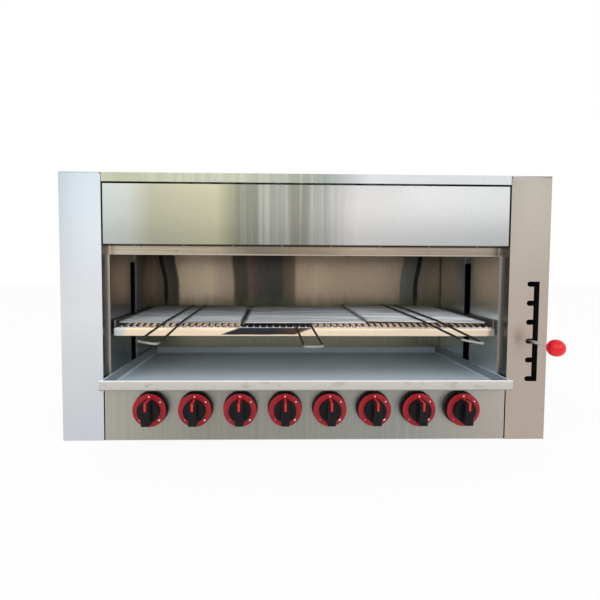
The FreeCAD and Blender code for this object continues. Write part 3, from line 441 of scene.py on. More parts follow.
def finishes(scene):
    """Makes every finish once and gives them back by name."""
    made = {}
    sheet = scene.melter_sheet
    light = tuple(sheet.light)
    olive = tuple(sheet.olive)
    # Painted reflections: the two columns are one steel, each given its own tones up its height for
    # what it mirrors.
    made["left_column"] = brushed_steel("left_column_steel", along(2, [
        (0.0, (0.57, 0.60, 0.63)), (0.30, (0.68, 0.69, 0.71)), (0.656, (0.46, 0.52, 0.57))]),
        grain=(2400.0, 8.0, 8.0), marks=0.80)
    made["right_column"] = brushed_steel("right_column_steel", along(2, [
        (0.0, (0.45, 0.37, 0.31)), (0.30, (0.44, 0.37, 0.31)), (0.656, (0.29, 0.27, 0.23))]),
        grain=(2400.0, 8.0, 8.0), marks=0.79, wear=0.16)
    # Painted shade: the columns' returns to the cavity are given a dark tone.
    made["return"] = brushed_steel("column_return_shaded_steel", along(2, [
        (0.0, (0.16, 0.165, 0.17)), (0.40, (0.13, 0.13, 0.12)), (0.656, (0.22, 0.21, 0.19))]),
        grain=(8.0, 2400.0, 8.0), roughness=0.30, wear=0.3)
    # Painted shade: a near-black tone inside the columns.
    made["inside"] = brushed_steel("column_inside_shade", (0.035, 0.036, 0.038),
                                   metallic=0.3, roughness=0.6)
    # Painted reflections along the hood's width, with pale upright streaks in its middle.
    made["hood"] = brushed_steel("hood_steel", along(0, [
        (-0.50, (0.45, 0.48, 0.46)), (-0.44, (0.42, 0.45, 0.41)), (-0.38, (0.33, 0.325, 0.235)),
        (-0.23, (0.37, 0.36, 0.245)), (-0.165, (0.14, 0.145, 0.10)), (-0.11, olive),
        (-0.02, (0.18, 0.18, 0.15)), (0.03, (0.26, 0.255, 0.235)), (0.12, (0.49, 0.48, 0.475)),
        (0.50, (0.42, 0.43, 0.435))], streaks=(-0.16, 0.10, 0.32)), roughness=0.36,
        marks=0.80)
    # Painted reflections along the top's width, with pale upright streaks.
    made["top"] = brushed_steel("top_steel", along(0, [
        (-0.60, (0.45, 0.46, 0.46)), (-0.45, (0.34, 0.36, 0.25)), (-0.2, (0.37, 0.38, 0.29)),
        (0.03, (0.22, 0.25, 0.215)), (0.15, (0.49, 0.51, 0.53)), (0.60, (0.36, 0.38, 0.38))],
        streaks=(-0.40, 0.05, 0.25)), roughness=0.32)
    # Painted reflections along the panel's width, with faint pale upright streaks.
    made["panel"] = brushed_steel("control_panel_steel", along(0, [
        (-0.50, (0.38, 0.37, 0.32)), (-0.25, (0.27, 0.26, 0.22)), (0.0, (0.27, 0.265, 0.235)),
        (0.25, (0.29, 0.29, 0.27)), (0.50, (0.42, 0.38, 0.34))],
        streaks=(-0.50, 0.40, 0.10)), roughness=0.38, marks=0.78)
    # Painted reflection: the case steel takes the pale room tone.
    made["case"] = brushed_steel("case_steel", light, roughness=0.36)
    made["cavity_back"] = brushed_steel("cavity_back_steel", back_wall_tint,
                                        grain=(2400.0, 8.0, 8.0), roughness=0.27, marks=0.76,
                                        wear=0.04)
    # Painted light: both side walls are one steel, given a dim and a bright set of tones for how
    # each is lit.
    made["cavity_left"] = brushed_steel("cavity_left_steel", side_wall_tint(
        (0.36, 0.31, 0.27), (0.25, 0.275, 0.28), (0.42, 0.31, 0.22), [(-0.010, 0.006)]),
        grain=(8.0, 8.0, 2400.0), roughness=0.22, wear=0.05)
    made["cavity_right"] = brushed_steel("cavity_right_steel", side_wall_tint(
        (0.80, 0.76, 0.65), (0.72, 0.78, 0.80), (0.30, 0.28, 0.24),
        [(-0.010, 0.005), (-0.066, -0.056)]),
        grain=(8.0, 8.0, 2400.0), roughness=0.22, wear=0.05)
    made["wall_edge"] = brushed_steel("wall_edge_steel", (0.44, 0.40, 0.37), roughness=0.3)
    made["rail"] = brushed_steel("burner_rail_steel", rail_tint, roughness=0.30, wear=0.25,
                                 marks=0.70)
    made["tray"] = brushed_steel("tray_steel", tray_tint, grain=(8.0, 1600.0, 1600.0),
                                 metallic=0.08, roughness=0.42, wear=0.1)
    made["lip"] = brushed_steel("tray_lip_steel", lip_tint, roughness=0.36, marks=0.72)
    made["bar"] = brushed_steel("front_bar_steel", bar_tint, metallic=0.85, roughness=0.24,
                                wear=0.03)
    # Painted reflection: the rack frame is given a dark tone for the dark cavity it mirrors.
    made["dark"] = brushed_steel("rack_frame_steel", (0.16, 0.155, 0.145), roughness=0.42,
                                 wear=0.3)
    made["burner"] = brushed_steel("burner_steel", (0.30, 0.29, 0.27), roughness=0.45, wear=0.35)
    made["guide"] = brushed_steel("guide_steel", (0.52, 0.52, 0.51), grain=(300.0, 300.0, 900.0),
                                  roughness=0.30)
    # Painted shade: the screws are given a dark tone, as the rail's screws sit in shade under the
    # hood's edge.
    made["screw"] = brushed_steel("screw_steel", (0.22, 0.21, 0.20), grain=(900.0, 900.0, 900.0),
                                  roughness=0.28)
    made["rod"] = brushed_steel("lever_rod_steel", (0.74, 0.73, 0.71),
                                grain=(300.0, 300.0, 300.0), metallic=0.5, roughness=0.34)
    made["brass"] = brushed_steel("valve_brass", (0.62, 0.42, 0.16), grain=(900.0, 900.0, 900.0),
                                  roughness=0.32)
    made["pipe"] = brushed_steel("feed_pipe_aluminium", (0.62, 0.62, 0.63),
                                 grain=(300.0, 300.0, 300.0), roughness=0.38)
    made["supply"] = plastic("manifold_paint", (0.16, 0.165, 0.17), roughness=0.45)
    # Painted light on the rack wire: the wire colour is its lit front, the tone darkens towards the
    # back as painted shade, and the sides multiply it brighter towards the right.
    bright = tuple(scene.melter_wire.colour)
    made["wire"] = plated_wire("rack_wire", [
        (-0.4600, bright), (-0.1960, bright), (-0.1945, (0.68, 0.71, 0.75)),
        (-0.1000, (0.68, 0.71, 0.75)), (0.0200, (0.52, 0.54, 0.55)),
        (0.1750, (0.27, 0.28, 0.27))], metallic=0.50, sides=[
        (-0.49, (0.64, 0.65, 0.64)), (-0.10, (0.80, 0.81, 0.81)), (0.20, (1.15, 1.15, 1.15)),
        (0.49, (1.4, 1.4, 1.4))])
    # Painted highlight on the grid rods' front ends and painted shade along the rest, under the
    # grates.
    made["grid"] = plated_wire("grid_wire", [
        (-0.2120, (0.80, 0.80, 0.80)), (-0.2045, (0.80, 0.80, 0.80)),
        (-0.2030, (0.060, 0.056, 0.054)), (-0.1500, (0.070, 0.066, 0.064)),
        (0.1750, (0.075, 0.075, 0.075))])
    made["handle"] = plated_wire("handle_wire", [
        (-0.4600, (0.34, 0.33, 0.32)), (-0.4400, (0.30, 0.29, 0.28)),
        (-0.4350, (0.050, 0.044, 0.040)),
        (-0.2500, (0.040, 0.036, 0.033)), (0.1750, (0.030, 0.028, 0.026))])
    knob = scene.melter_knob
    made["knob_black"] = plastic("knob_black", tuple(knob.body), roughness=0.42, shine=0.12)
    made["bezel"] = plastic("bezel_black", (0.022, 0.023, 0.024), roughness=0.34)
    made["knob_ring"] = plastic("knob_ring_red", tuple(knob.ring), roughness=0.36, grain=0.03)
    made["pointer"] = plastic("knob_pointer_red", tuple(knob.pointer), roughness=0.4)
    made["mark"] = plastic("knob_mark_white", (0.80, 0.80, 0.78), roughness=0.5)
    made["mark_worn"] = plastic("knob_mark_worn", (0.62, 0.42, 0.42), roughness=0.5)
    made["ball"] = plastic("ball_red", tuple(knob.ball), roughness=0.12, grain=0.01, shine=0.4)
    made["tile"] = tile_finish()
    return made


FINISH = {}


# Mesh helpers

def link(name, mesh):
    obj = bpy.data.objects.new(name, mesh)
    bpy.context.scene.collection.objects.link(obj)
    return obj


def smooth(mesh, angle=32.0):
    """Smooth shading that keeps real edges sharp."""
    mesh.polygons.foreach_set("use_smooth", [True] * len(mesh.polygons))
    mesh.set_sharp_from_angle(angle=math.radians(angle))


def finished(name, mesh, body, nodes, materials=()):
    """Links a mesh as a piece that rides on a body and stands for CAD nodes."""
    obj = link(name, mesh)
    for material in materials:
        mesh.materials.append(material)
    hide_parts(*nodes)
    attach(obj, body)
    return obj


def paint(node, finish):
    """Gives a CAD node its finish."""
    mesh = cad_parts[node].data
    mesh.materials.clear()
    mesh.materials.append(finish)


def is_fold(edge, widest_wall):
    """True for an outer edge between two broad faces of a sheet."""
    if len(edge.link_faces) != 2 or not edge.is_convex:
        return False
    if edge.calc_face_angle(0.0) < math.radians(40.0):
        return False
    return all(2.0 * face.calc_area() / face.calc_perimeter() > widest_wall
               for face in edge.link_faces)


def folded_copy(node, name, body, radius, materials, choose=None, widest_wall=0.0019):
    """A copy of a sheet piece whose folds are rounded; choose picks each face's finish."""
    work = bmesh.new()
    work.from_mesh(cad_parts[node].data)
    bmesh.ops.remove_doubles(work, verts=work.verts, dist=2e-6)
    seams = {vert for edge in work.edges if len(edge.link_faces) > 2 for vert in edge.verts}
    hidden = [face for face in work.faces if all(vert in seams for vert in face.verts)]
    bmesh.ops.delete(work, geom=hidden, context="FACES")
    bmesh.ops.dissolve_limit(work, angle_limit=math.radians(1.0), verts=work.verts,
                             edges=work.edges)
    folds = [edge for edge in work.edges if is_fold(edge, widest_wall)]
    if folds:
        bmesh.ops.bevel(work, geom=folds, offset=radius, segments=3, profile=0.5,
                        affect="EDGES", clamp_overlap=True)
    bmesh.ops.triangulate(work, faces=[face for face in work.faces if len(face.verts) > 4])
    for face in work.faces:
        face.material_index = choose(face) if choose else 0
    mesh = bpy.data.meshes.new(name)
    work.to_mesh(mesh)
    work.free()
    if "custom_normal" in mesh.attributes:
        mesh.attributes.remove(mesh.attributes["custom_normal"])
    smooth(mesh)
    return finished(name, mesh, body, [node], materials)


def lathe(work, profile, centre, segments=64, material=0):
    """Turns (radius, height) points about an axis that points to -Y at centre."""
    rings = []
    for radius, height in profile:
        if radius < 1e-7:
            rings.append([work.verts.new(centre + Vector((0, -height, 0)))])
            continue
        ring = []
        for index in range(segments):
            angle = 2 * math.pi * index / segments
            ring.append(work.verts.new(centre + Vector((radius * math.cos(angle), -height,
                                                        radius * math.sin(angle)))))
        rings.append(ring)
    for low, high in zip(rings, rings[1:]):
        for index in range(segments):
            after = (index + 1) % segments
            corners = [low[index % len(low)], low[after % len(low)],
                       high[after % len(high)], high[index % len(high)]]
            unique = list(dict.fromkeys(corners))
            face = work.faces.new(unique)
            face.material_index = material


def rounded_block(work, low, high, radius, material=0, segments=4):
    """A block with all its edges rounded."""
    start = len(work.faces)
    made = bmesh.ops.create_cube(work, size=1.0)
    size = high - low
    middle = (high + low) / 2
    for vert in made["verts"]:
        vert.co = Vector((vert.co.x * size.x, vert.co.y * size.y, vert.co.z * size.z)) + middle
    edges = list({edge for vert in made["verts"] for edge in vert.link_edges})
    bmesh.ops.bevel(work, geom=edges, offset=radius, segments=segments, profile=0.5,
                    affect="EDGES", clamp_overlap=True)
    work.faces.ensure_lookup_table()
    for face in work.faces[start:]:
        face.material_index = material


# Geometry node trees for what repeats

def tree_with(name, inputs):
    """A node tree with a geometry input, the named inputs and a geometry output."""
    tree = bpy.data.node_groups.new(name, "GeometryNodeTree")
    tree.interface.new_socket("Geometry", in_out="INPUT", socket_type="NodeSocketGeometry")
    for label, kind in inputs:
        tree.interface.new_socket(label, in_out="INPUT", socket_type=kind)
    tree.interface.new_socket("Geometry", in_out="OUTPUT", socket_type="NodeSocketGeometry")
    return tree


def add_node(tree, kind, links=(), settings=None):
    """Adds a node, its settings, and its inputs' values or links."""
    made = tree.nodes.new(kind)
    for key, value in (settings or {}).items():
        setattr(made, key, value)
    for key, value in links:
        if isinstance(value, bpy.types.NodeSocket):
            tree.links.new(value, made.inputs[key])
        else:
            made.inputs[key].default_value = value
    return made


def wire_tree():
    """Sweeps a round wire along the route given as edges, and repeats it in a row."""
    tree = tree_with("repeated_wire", [
        ("Wire radius", "NodeSocketFloat"), ("Bend radius", "NodeSocketFloat"),
        ("Count", "NodeSocketInt"), ("Offset", "NodeSocketVector"),
        ("Material", "NodeSocketMaterial")])
    given = tree.nodes.new("NodeGroupInput").outputs
    route = add_node(tree, "GeometryNodeMeshToCurve", [("Mesh", given["Geometry"])])
    bent = add_node(tree, "GeometryNodeFilletCurve",
                    [("Curve", route.outputs[0]), ("Count", 5), ("Radius", given["Bend radius"]),
                     ("Limit Radius", True)], {"mode": "POLY"})
    section = add_node(tree, "GeometryNodeCurvePrimitiveCircle",
                       [("Resolution", 12), ("Radius", given["Wire radius"])])
    wire = add_node(tree, "GeometryNodeCurveToMesh",
                    [("Curve", bent.outputs[0]), ("Profile Curve", section.outputs[0]),
                     ("Fill Caps", True)])
    row = add_node(tree, "GeometryNodeMeshLine",
                   [("Count", given["Count"]), ("Offset", given["Offset"])], {"mode": "OFFSET"})
    placed = add_node(tree, "GeometryNodeInstanceOnPoints",
                      [("Points", row.outputs[0]), ("Instance", wire.outputs[0])])
    real = add_node(tree, "GeometryNodeRealizeInstances", [(0, placed.outputs[0])])
    coated = add_node(tree, "GeometryNodeSetMaterial",
                      [("Geometry", real.outputs[0]), ("Material", given["Material"])])
    add_node(tree, "NodeGroupOutput", [(0, coated.outputs[0])])
    return tree


def copies_tree():
    """Sets a copy of a piece on every given point."""
    tree = tree_with("piece_on_points", [("Piece", "NodeSocketObject"),
                                         ("Material", "NodeSocketMaterial")])
    given = tree.nodes.new("NodeGroupInput").outputs
    piece = add_node(tree, "GeometryNodeObjectInfo", [("Object", given["Piece"])])
    placed = add_node(tree, "GeometryNodeInstanceOnPoints",
                      [("Points", given["Geometry"]), ("Instance", piece.outputs["Geometry"])])
    real = add_node(tree, "GeometryNodeRealizeInstances", [(0, placed.outputs[0])])
    coated = add_node(tree, "GeometryNodeSetMaterial",
                      [("Geometry", real.outputs[0]), ("Material", given["Material"])])
    add_node(tree, "NodeGroupOutput", [(0, coated.outputs[0])])
    return tree


def from_tree(tree, points, edges, values):
    """The plain mesh that a tree makes from points and edges with the named values."""
    mesh = bpy.data.meshes.new("route")
    mesh.from_pydata([tuple(point) for point in points], edges, [])
    carrier = link("route", mesh)
    modifier = carrier.modifiers.new("pieces", "NODES")
    modifier.node_group = tree
    for item in tree.interface.items_tree:
        if item.in_out == "INPUT" and item.name in values:
            modifier[item.identifier] = values[item.name]
    seen = carrier.evaluated_get(bpy.context.evaluated_depsgraph_get())
    result = bpy.data.meshes.new_from_object(seen)
    bpy.data.objects.remove(carrier)
    return result


def wires(tree, points, radius, bend=0.0, count=1, offset=(0.0, 0.0, 0.0), closed=False,
          finish="wire"):
    """A swept wire, or a row of them, as a mesh."""
    edges = [(index, index + 1) for index in range(len(points) - 1)]
    if closed:
        edges.append((len(points) - 1, 0))
    return from_tree(tree, points, edges, {
        "Wire radius": radius, "Bend radius": bend, "Count": count, "Offset": offset,
        "Material": FINISH[finish]})


def merged(name, meshes, matrix=None):
    """One mesh from several; each keeps its finish, in the meshes' order."""
    work = bmesh.new()
    slots = []
    for mesh in meshes:
        start = len(work.faces)
        work.from_mesh(mesh)
        finish = next((material for material in mesh.materials if material), None)
        if finish not in slots:
            slots.append(finish)
        work.faces.ensure_lookup_table()
        for face in work.faces[start:]:
            face.material_index = slots.index(finish)
    if matrix is not None:
        work.transform(matrix)
    bmesh.ops.recalc_face_normals(work, faces=work.faces)
    result = bpy.data.meshes.new(name)
    work.to_mesh(result)
    work.free()
    smooth(result, 40.0)
    return result


# Pieces

class MelterCasing(bpy.types.Operator):
    """Rounds the casing's folds and gives its sheets their finishes"""

    bl_idname = "melter.casing"
    bl_label = "Casing"

    opening_half = 0.5
    width_half = 0.6
    front = -0.25
    hair = 0.0005

    def cover_face(self, face):
        """0 for the column's outer faces, 1 for its return to the cavity, 2 for its inside."""
        middle = face.calc_center_median()
        across = abs(middle.x)
        outward = face.normal.x * (1 if middle.x > 0 else -1)
        if across < self.opening_half + self.hair and outward < -0.5:
            return 1
        if (across > self.width_half - self.hair or abs(face.normal.z) > 0.5
                or middle.y < self.front + 0.6 * self.hair):
            return 0
        in_notch = middle.y < self.front + 2 * self.hair and across > self.opening_half
        return 0 if in_notch and outward < 0.5 else 2

    def execute(self, context):
        radius = context.scene.melter_sheet.fold_radius
        for side in ("left", "right"):
            node = side + "_side_cover"
            folded_copy(node, node + "_folded", "casing", radius,
                        [FINISH[side + "_column"], FINISH["return"], FINISH["inside"]],
                        self.cover_face)
        for node, finish in (("top_cover", "top"), ("hood_front_panel", "hood"),
                             ("control_panel", "panel"), ("base_pan", "case")):
            folded_copy(node, node + "_folded", "casing", radius,
                        [FINISH[finish]])
        paint("rear_cover", FINISH["case"])
        return {"FINISHED"}


class MelterCavity(bpy.types.Operator):
    """Finishes the cooking cavity, its burner rail and the burners"""

    bl_idname = "melter.cavity"
    bl_label = "Cavity"

    def execute(self, context):
        radius = context.scene.melter_sheet.fold_radius
        folded_copy("burner_rail", "burner_rail_folded", "casing", radius / 2,
                    [FINISH["rail"]], widest_wall=0.0013)
        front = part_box("left_inner_wall")[0].y + 0.0003
        for side in ("left", "right"):
            node = side + "_inner_wall"
            folded_copy(node, node + "_folded", "casing", 0.0003,
                        [FINISH["cavity_" + side], FINISH["wall_edge"]],
                        lambda face: 1 if face.calc_center_median().y < front else 0,
                        widest_wall=0.0013)
        paint("back_inner_wall", FINISH["cavity_back"])
        paint("tray_deck", FINISH["case"])
        paint("burner_tiles", FINISH["tile"])
        for index in range(BURNERS):
            paint("burner_%d" % (index + 1), FINISH["burner"])
        return {"FINISHED"}


class MelterMechanism(bpy.types.Operator):
    """Finishes the guides, carriages and gas parts behind the walls"""

    bl_idname = "melter.mechanism"
    bl_label = "Mechanism and gas parts"

    def execute(self, context):
        for node in ("guide_rods", "guide_rod_brackets", "left_carriage", "right_carriage",
                     "link_bars", "cross_tube", "lever_pin", "lever_block"):
            paint(node, FINISH["guide"])
        paint("lever_rod", FINISH["rod"])
        paint("gas_valves", FINISH["brass"])
        paint("feed_pipes", FINISH["pipe"])
        paint("gas_manifold", FINISH["supply"])
        for index in range(KNOBS):
            paint("valve_plunger_%d" % (index + 1), FINISH["brass"])
        return {"FINISHED"}


class MelterScrews(bpy.types.Operator):
    """Makes the pan-head screws of the burner rail and the rear cover"""

    bl_idname = "melter.screws"
    bl_label = "Screws"

    head_radius = 0.0036
    rail_spacing = 0.124
    rail_front = -0.212
    rail_height = 0.484
    rear_face = 0.25
    rear_spacing = 0.178
    rear_height = 0.060
    rear_rows = 4

    def screw(self, direction):
        """A screw at the origin whose head stands out along the direction on Y."""
        work = bmesh.new()
        dome = [(0.0, 0.0024), (0.0012, 0.0024), (0.0024, 0.0021), (0.0032, 0.0013),
                (self.head_radius, 0.0004), (self.head_radius, 0.0), (0.0020, 0.0),
                (0.0020, -0.0080), (0.0, -0.0080)]
        lathe(work, dome, Vector((0, 0, 0)), segments=20)
        for size in ((0.0026, 0.0006), (0.0006, 0.0026)):
            rounded_block(work, Vector((-size[0], -0.00245, -size[1])),
                          Vector((size[0], -0.0022, size[1])), 0.0002, segments=1)
        if direction > 0:
            work.transform(Matrix.Rotation(math.pi, 4, "Z"))
        bmesh.ops.recalc_face_normals(work, faces=work.faces)
        mesh = bpy.data.meshes.new("screw")
        work.to_mesh(mesh)
        work.free()
        return link("screw", mesh)

    def execute(self, context):
        tree = copies_tree()
        middle = (BURNERS - 1) / 2
        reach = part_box("cover_screws")[1].x - self.head_radius
        rail = [((index - middle) * self.rail_spacing, self.rail_front, self.rail_height)
                for index in range(BURNERS)]
        rear = [(side * reach, self.rear_face, self.rear_height + row * self.rear_spacing)
                for side in (-1, 1) for row in range(self.rear_rows)]
        meshes = []
        for places, direction in ((rail, -1), (rear, 1)):
            piece = self.screw(direction)
            meshes.append(from_tree(tree, places, [], {"Piece": piece,
                                                       "Material": FINISH["screw"]}))
            bpy.data.objects.remove(piece)
        finished("cover_screws_shaped", merged("cover_screws_shaped", meshes), "casing",
                 ["cover_screws"], [FINISH["screw"]])
        return {"FINISHED"}


class MelterTray(bpy.types.Operator):
    """Rounds the drip tray's folds and finishes its lip and floor"""

    bl_idname = "melter.tray"
    bl_label = "Drip tray"

    def execute(self, context):
        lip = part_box("drip_tray")[0].y + 0.002
        folded_copy("drip_tray", "drip_tray_folded", "tray",
                    context.scene.melter_sheet.fold_radius,
                    [FINISH["tray"], FINISH["lip"]],
                    lambda face: 1 if face.calc_center_median().y < lip else 0)
        return {"FINISHED"}


class MelterRack(bpy.types.Operator):
    """Finishes the rack's bars and sweeps the rods of its base grid"""

    bl_idname = "melter.rack"
    bl_label = "Rack"

    rod_route = ((-0.2085, 0.2766), (-0.1535, 0.2840), (0.1680, 0.2840))
    strip_place = (-0.2068, 0.27555)
    strip_radius = 0.0010
    cross_place = (-0.1400, 0.27985)
    cross_radius = 0.0020
    cross_pitch = 0.095
    cross_count = 4
    cross_half = 0.4815

    def across(self, place):
        """The two ends of a wire that lies across the rack at (y, z)."""
        return [(-self.cross_half, *place), (self.cross_half, *place)]

    def execute(self, context):
        look = context.scene.melter_wire
        folded_copy("rack_front_bar", "rack_front_bar_folded", "rack", 0.0012,
                    [FINISH["bar"]])
        folded_copy("rack_frame", "rack_frame_folded", "rack", 0.0008,
                    [FINISH["dark"]])
        tree = wire_tree()
        half = look.rod_pitch * (look.rod_count - 1) / 2
        rod = [(-half, *place) for place in self.rod_route]
        meshes = [
            wires(tree, rod, look.rod_radius, 0.02, look.rod_count, (look.rod_pitch, 0, 0),
                  finish="grid"),
            wires(tree, self.across(self.strip_place), self.strip_radius, finish="grid"),
            wires(tree, self.across(self.cross_place), self.cross_radius, 0.0,
                  self.cross_count, (0, self.cross_pitch, 0), finish="grid"),
        ]
        finished("rack_grid_swept", merged("rack_grid_swept", meshes), "rack",
                 ["rack_grid"], [FINISH["grid"]])
        return {"FINISHED"}


class MelterGrates(bpy.types.Operator):
    """Sweeps the wires of the three loose grates"""

    bl_idname = "melter.grates"
    bl_label = "Grates"

    width = 0.314
    length = 0.375
    level = 0.2893
    front = -0.200
    bend = -0.1535
    slope = 0.0085 / 0.3260
    rise = 0.0037
    frame_radius = 0.0025

    def handle(self, side, shift, breadth, sway, skew, lean):
        """Route of a long handle that lies over (1) or under (-1) the grate."""
        y = self.length / 2 - self.frame_radius
        rear = y if side > 0 else y - 0.008
        tip = -y - 0.250
        height = self.level + side * self.rise
        low = height - 0.009
        left = shift - breadth / 2
        right = shift + breadth / 2
        return [(left, rear, height), (left, -y, height),
                (left + sway, tip + skew / 2, low + lean / 2),
                (right + sway, tip - skew / 2, low - lean / 2),
                (right, -y, height), (right, rear, height)]

    def grate(self, tree, look, handle):
        """One grate about its own middle."""
        x = self.width / 2 - self.frame_radius
        y = self.length / 2 - self.frame_radius
        z = self.level
        pitch = 2 * y / (look.grate_wire_count + 1)
        return [
            wires(tree, [(-x, -y, z), (x, -y, z), (x, y, z), (-x, y, z)], self.frame_radius,
                  0.004, closed=True),
            wires(tree, [(-x, -y + pitch, z), (x, -y + pitch, z)], look.grate_wire_radius,
                  0.0, look.grate_wire_count, (0, pitch, 0)),
            wires(tree, self.handle(*handle), self.frame_radius, 0.008, finish="handle"),
        ]

    def place(self, middle, pull, turn, lift):
        """Where a grate lies, with its rear edge on the rack's rear bar."""
        edge = Vector((self.width / 2, 0, self.level))
        bend = Vector((0, self.bend, self.level))
        return (Matrix.Translation(bend) @ Matrix.Rotation(math.asin(self.slope), 4, "X")
                @ Matrix.Translation(-bend)
                @ Matrix.Translation((middle, self.front + self.length / 2 - pull, 0))
                @ Matrix.Rotation(math.radians(turn), 4, "Z")
                @ Matrix.Translation(edge)
                @ Matrix.Rotation(math.asin(lift / self.width), 4, "Y")
                @ Matrix.Translation(-edge))

    def execute(self, context):
        tree = wire_tree()
        look = context.scene.melter_wire
        for side, place, handle in (
                ("left", (-0.322, 0.0, 0.0, 0.0), (1, -0.0133, 0.0415, 0.0, 0.010, 0.004)),
                ("middle", (0.0, 0.001, 0.0, 0.0), (-1, -0.0083, 0.0385, 0.0065, 0.001, -0.001)),
                ("right", (0.3115, 0.0, 0.6, 0.0054), (1, 0.0065, 0.0410, 0.0, 0.022, 0.005))):
            name = side + "_grate_swept"
            mesh = merged(name, self.grate(tree, look, handle), self.place(*place))
            finished(name, mesh, "grate_" + side, [side + "_grate"],
                     [FINISH["wire"], FINISH["handle"]])
        return {"FINISHED"}


class MelterLever(bpy.types.Operator):
    """Turns the red ball with its flat mouth around the lever rod"""

    bl_idname = "melter.lever"
    bl_label = "Lever ball"

    def execute(self, context):
        low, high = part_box("lever_ball")
        radius = (high.z - low.z) / 2
        centre = Vector(((low.x + high.x) / 2, low.y + radius, (low.z + high.z) / 2))
        profile = [(0.0, radius)]
        for index in range(1, 33):
            angle = math.radians(5 * index)
            profile.append((radius * math.sin(angle), radius * math.cos(angle)))
        mouth = -math.sqrt(radius ** 2 - 0.0058 ** 2)
        profile += [(0.0058, mouth), (0.0052, mouth - 0.0002), (0.0041, mouth + 0.0004),
                    (0.0041, mouth + 0.008), (0.0, mouth + 0.008)]
        work = bmesh.new()
        lathe(work, profile, centre, segments=64)
        bmesh.ops.recalc_face_normals(work, faces=work.faces)
        mesh = bpy.data.meshes.new("lever_ball_turned")
        work.to_mesh(mesh)
        work.free()
        smooth(mesh, 45.0)
        finished("lever_ball_turned", mesh, "lever", ["lever_ball"],
                 [FINISH["ball"]])
        return {"FINISHED"}


class MelterKnobs(bpy.types.Operator):
    """Models the gas knobs with their rings, grips, pointers and dots"""

    bl_idname = "melter.knobs"
    bl_label = "Knobs"

    def knob(self, name, centre, spindle_end):
        """A knob whose axis is at centre on the panel's face, with five finishes."""
        work = bmesh.new()
        skirt = [(0.0378, 0.0070), (0.0399, 0.0070), (0.0403, 0.0074), (0.0403, 0.0262),
                 (0.0400, 0.0266), (0.0378, 0.0266), (0.0378, 0.0235), (0.0090, 0.0235),
                 (0.0080, 0.0225), (0.0080, 0.0070), (0.0041, 0.0070), (0.0041, 0.0210),
                 (0.0, 0.0210)]
        lathe(work, skirt, centre)
        ring = [(0.0402, 0.0258), (0.0403, 0.0284), (0.0399, 0.0290), (0.0390, 0.0291),
                (0.0340, 0.0283), (0.0282, 0.0282), (0.0268, 0.0284), (0.0266, 0.0275),
                (0.0266, 0.0255)]
        lathe(work, ring, centre, material=1)
        disc = [(0.0268, 0.0255), (0.0268, 0.0390), (0.0262, 0.0402), (0.0248, 0.0408),
                (0.0, 0.0410)]
        lathe(work, disc, centre)
        rounded_block(work, centre + Vector((-0.0100, -0.0640, -0.0280)),
                      centre + Vector((0.0100, -0.0290, 0.0280)), 0.0024)
        rounded_block(work, centre + Vector((-0.0026, -0.0643, 0.0080)),
                      centre + Vector((0.0026, -0.0630, 0.0268)), 0.0004, 2, 2)
        rounded_block(work, centre + Vector((-0.0026, -0.0632, 0.0272)),
                      centre + Vector((0.0026, -0.0290, 0.0283)), 0.0004, 2, 2)
        for degrees, size, material in ((0, (0.0018, 0.0018), 3), (52, (0.0017, 0.0017), 3),
                                        (135, (0.0017, 0.0030), 3), (225, (0.0013, 0.0013), 4)):
            self.mark(work, centre, math.radians(degrees), size, material)
        lathe(work, [(0.00398, 0.0205), (0.00398, spindle_end), (0.0, spindle_end)], centre,
              segments=24)
        bmesh.ops.recalc_face_normals(work, faces=work.faces)
        mesh = bpy.data.meshes.new(name)
        work.to_mesh(mesh)
        work.free()
        smooth(mesh, 38.0)
        return mesh

    @staticmethod
    def mark(work, centre, angle, size, material):
        """A round or oval paint mark on the ring, clockwise from the top."""
        middle = centre + Vector((0.0336 * math.sin(angle), -0.02835, 0.0336 * math.cos(angle)))
        across = Vector((math.cos(angle), 0, -math.sin(angle)))
        out = Vector((math.sin(angle), 0, math.cos(angle)))
        top = []
        foot = []
        for index in range(20):
            turn = 2 * math.pi * index / 20
            reach = across * (size[1] * math.cos(turn)) + out * (size[0] * math.sin(turn))
            top.append(work.verts.new(middle + reach + Vector((0, -0.00025, 0))))
            foot.append(work.verts.new(middle + reach * 1.05 + Vector((0, 0.0004, 0))))
        faces = [work.faces.new(top), work.faces.new(list(reversed(foot)))]
        for index in range(20):
            after = (index + 1) % 20
            faces.append(work.faces.new([top[index], foot[index], foot[after], top[after]]))
        for face in faces:
            face.material_index = material

    def execute(self, context):
        materials = [FINISH["knob_black"], FINISH["knob_ring"], FINISH["pointer"],
                     FINISH["mark"], FINISH["mark_worn"]]
        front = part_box("control_panel")[0].y
        for index in range(KNOBS):
            node = "knob_%d" % (index + 1)
            low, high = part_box(node)
            centre = Vector(((low.x + high.x) / 2, front, (low.z + high.z) / 2))
            name = node + "_moulded"
            mesh = self.knob(name, centre, front - high.y)
            finished(name, mesh, "knob_turn_%d" % (index + 1), [node], materials)
        folded_copy("knob_bezels", "knob_bezels_moulded", "casing", 0.0003,
                    [FINISH["bezel"]], widest_wall=0.0005)
        return {"FINISHED"}


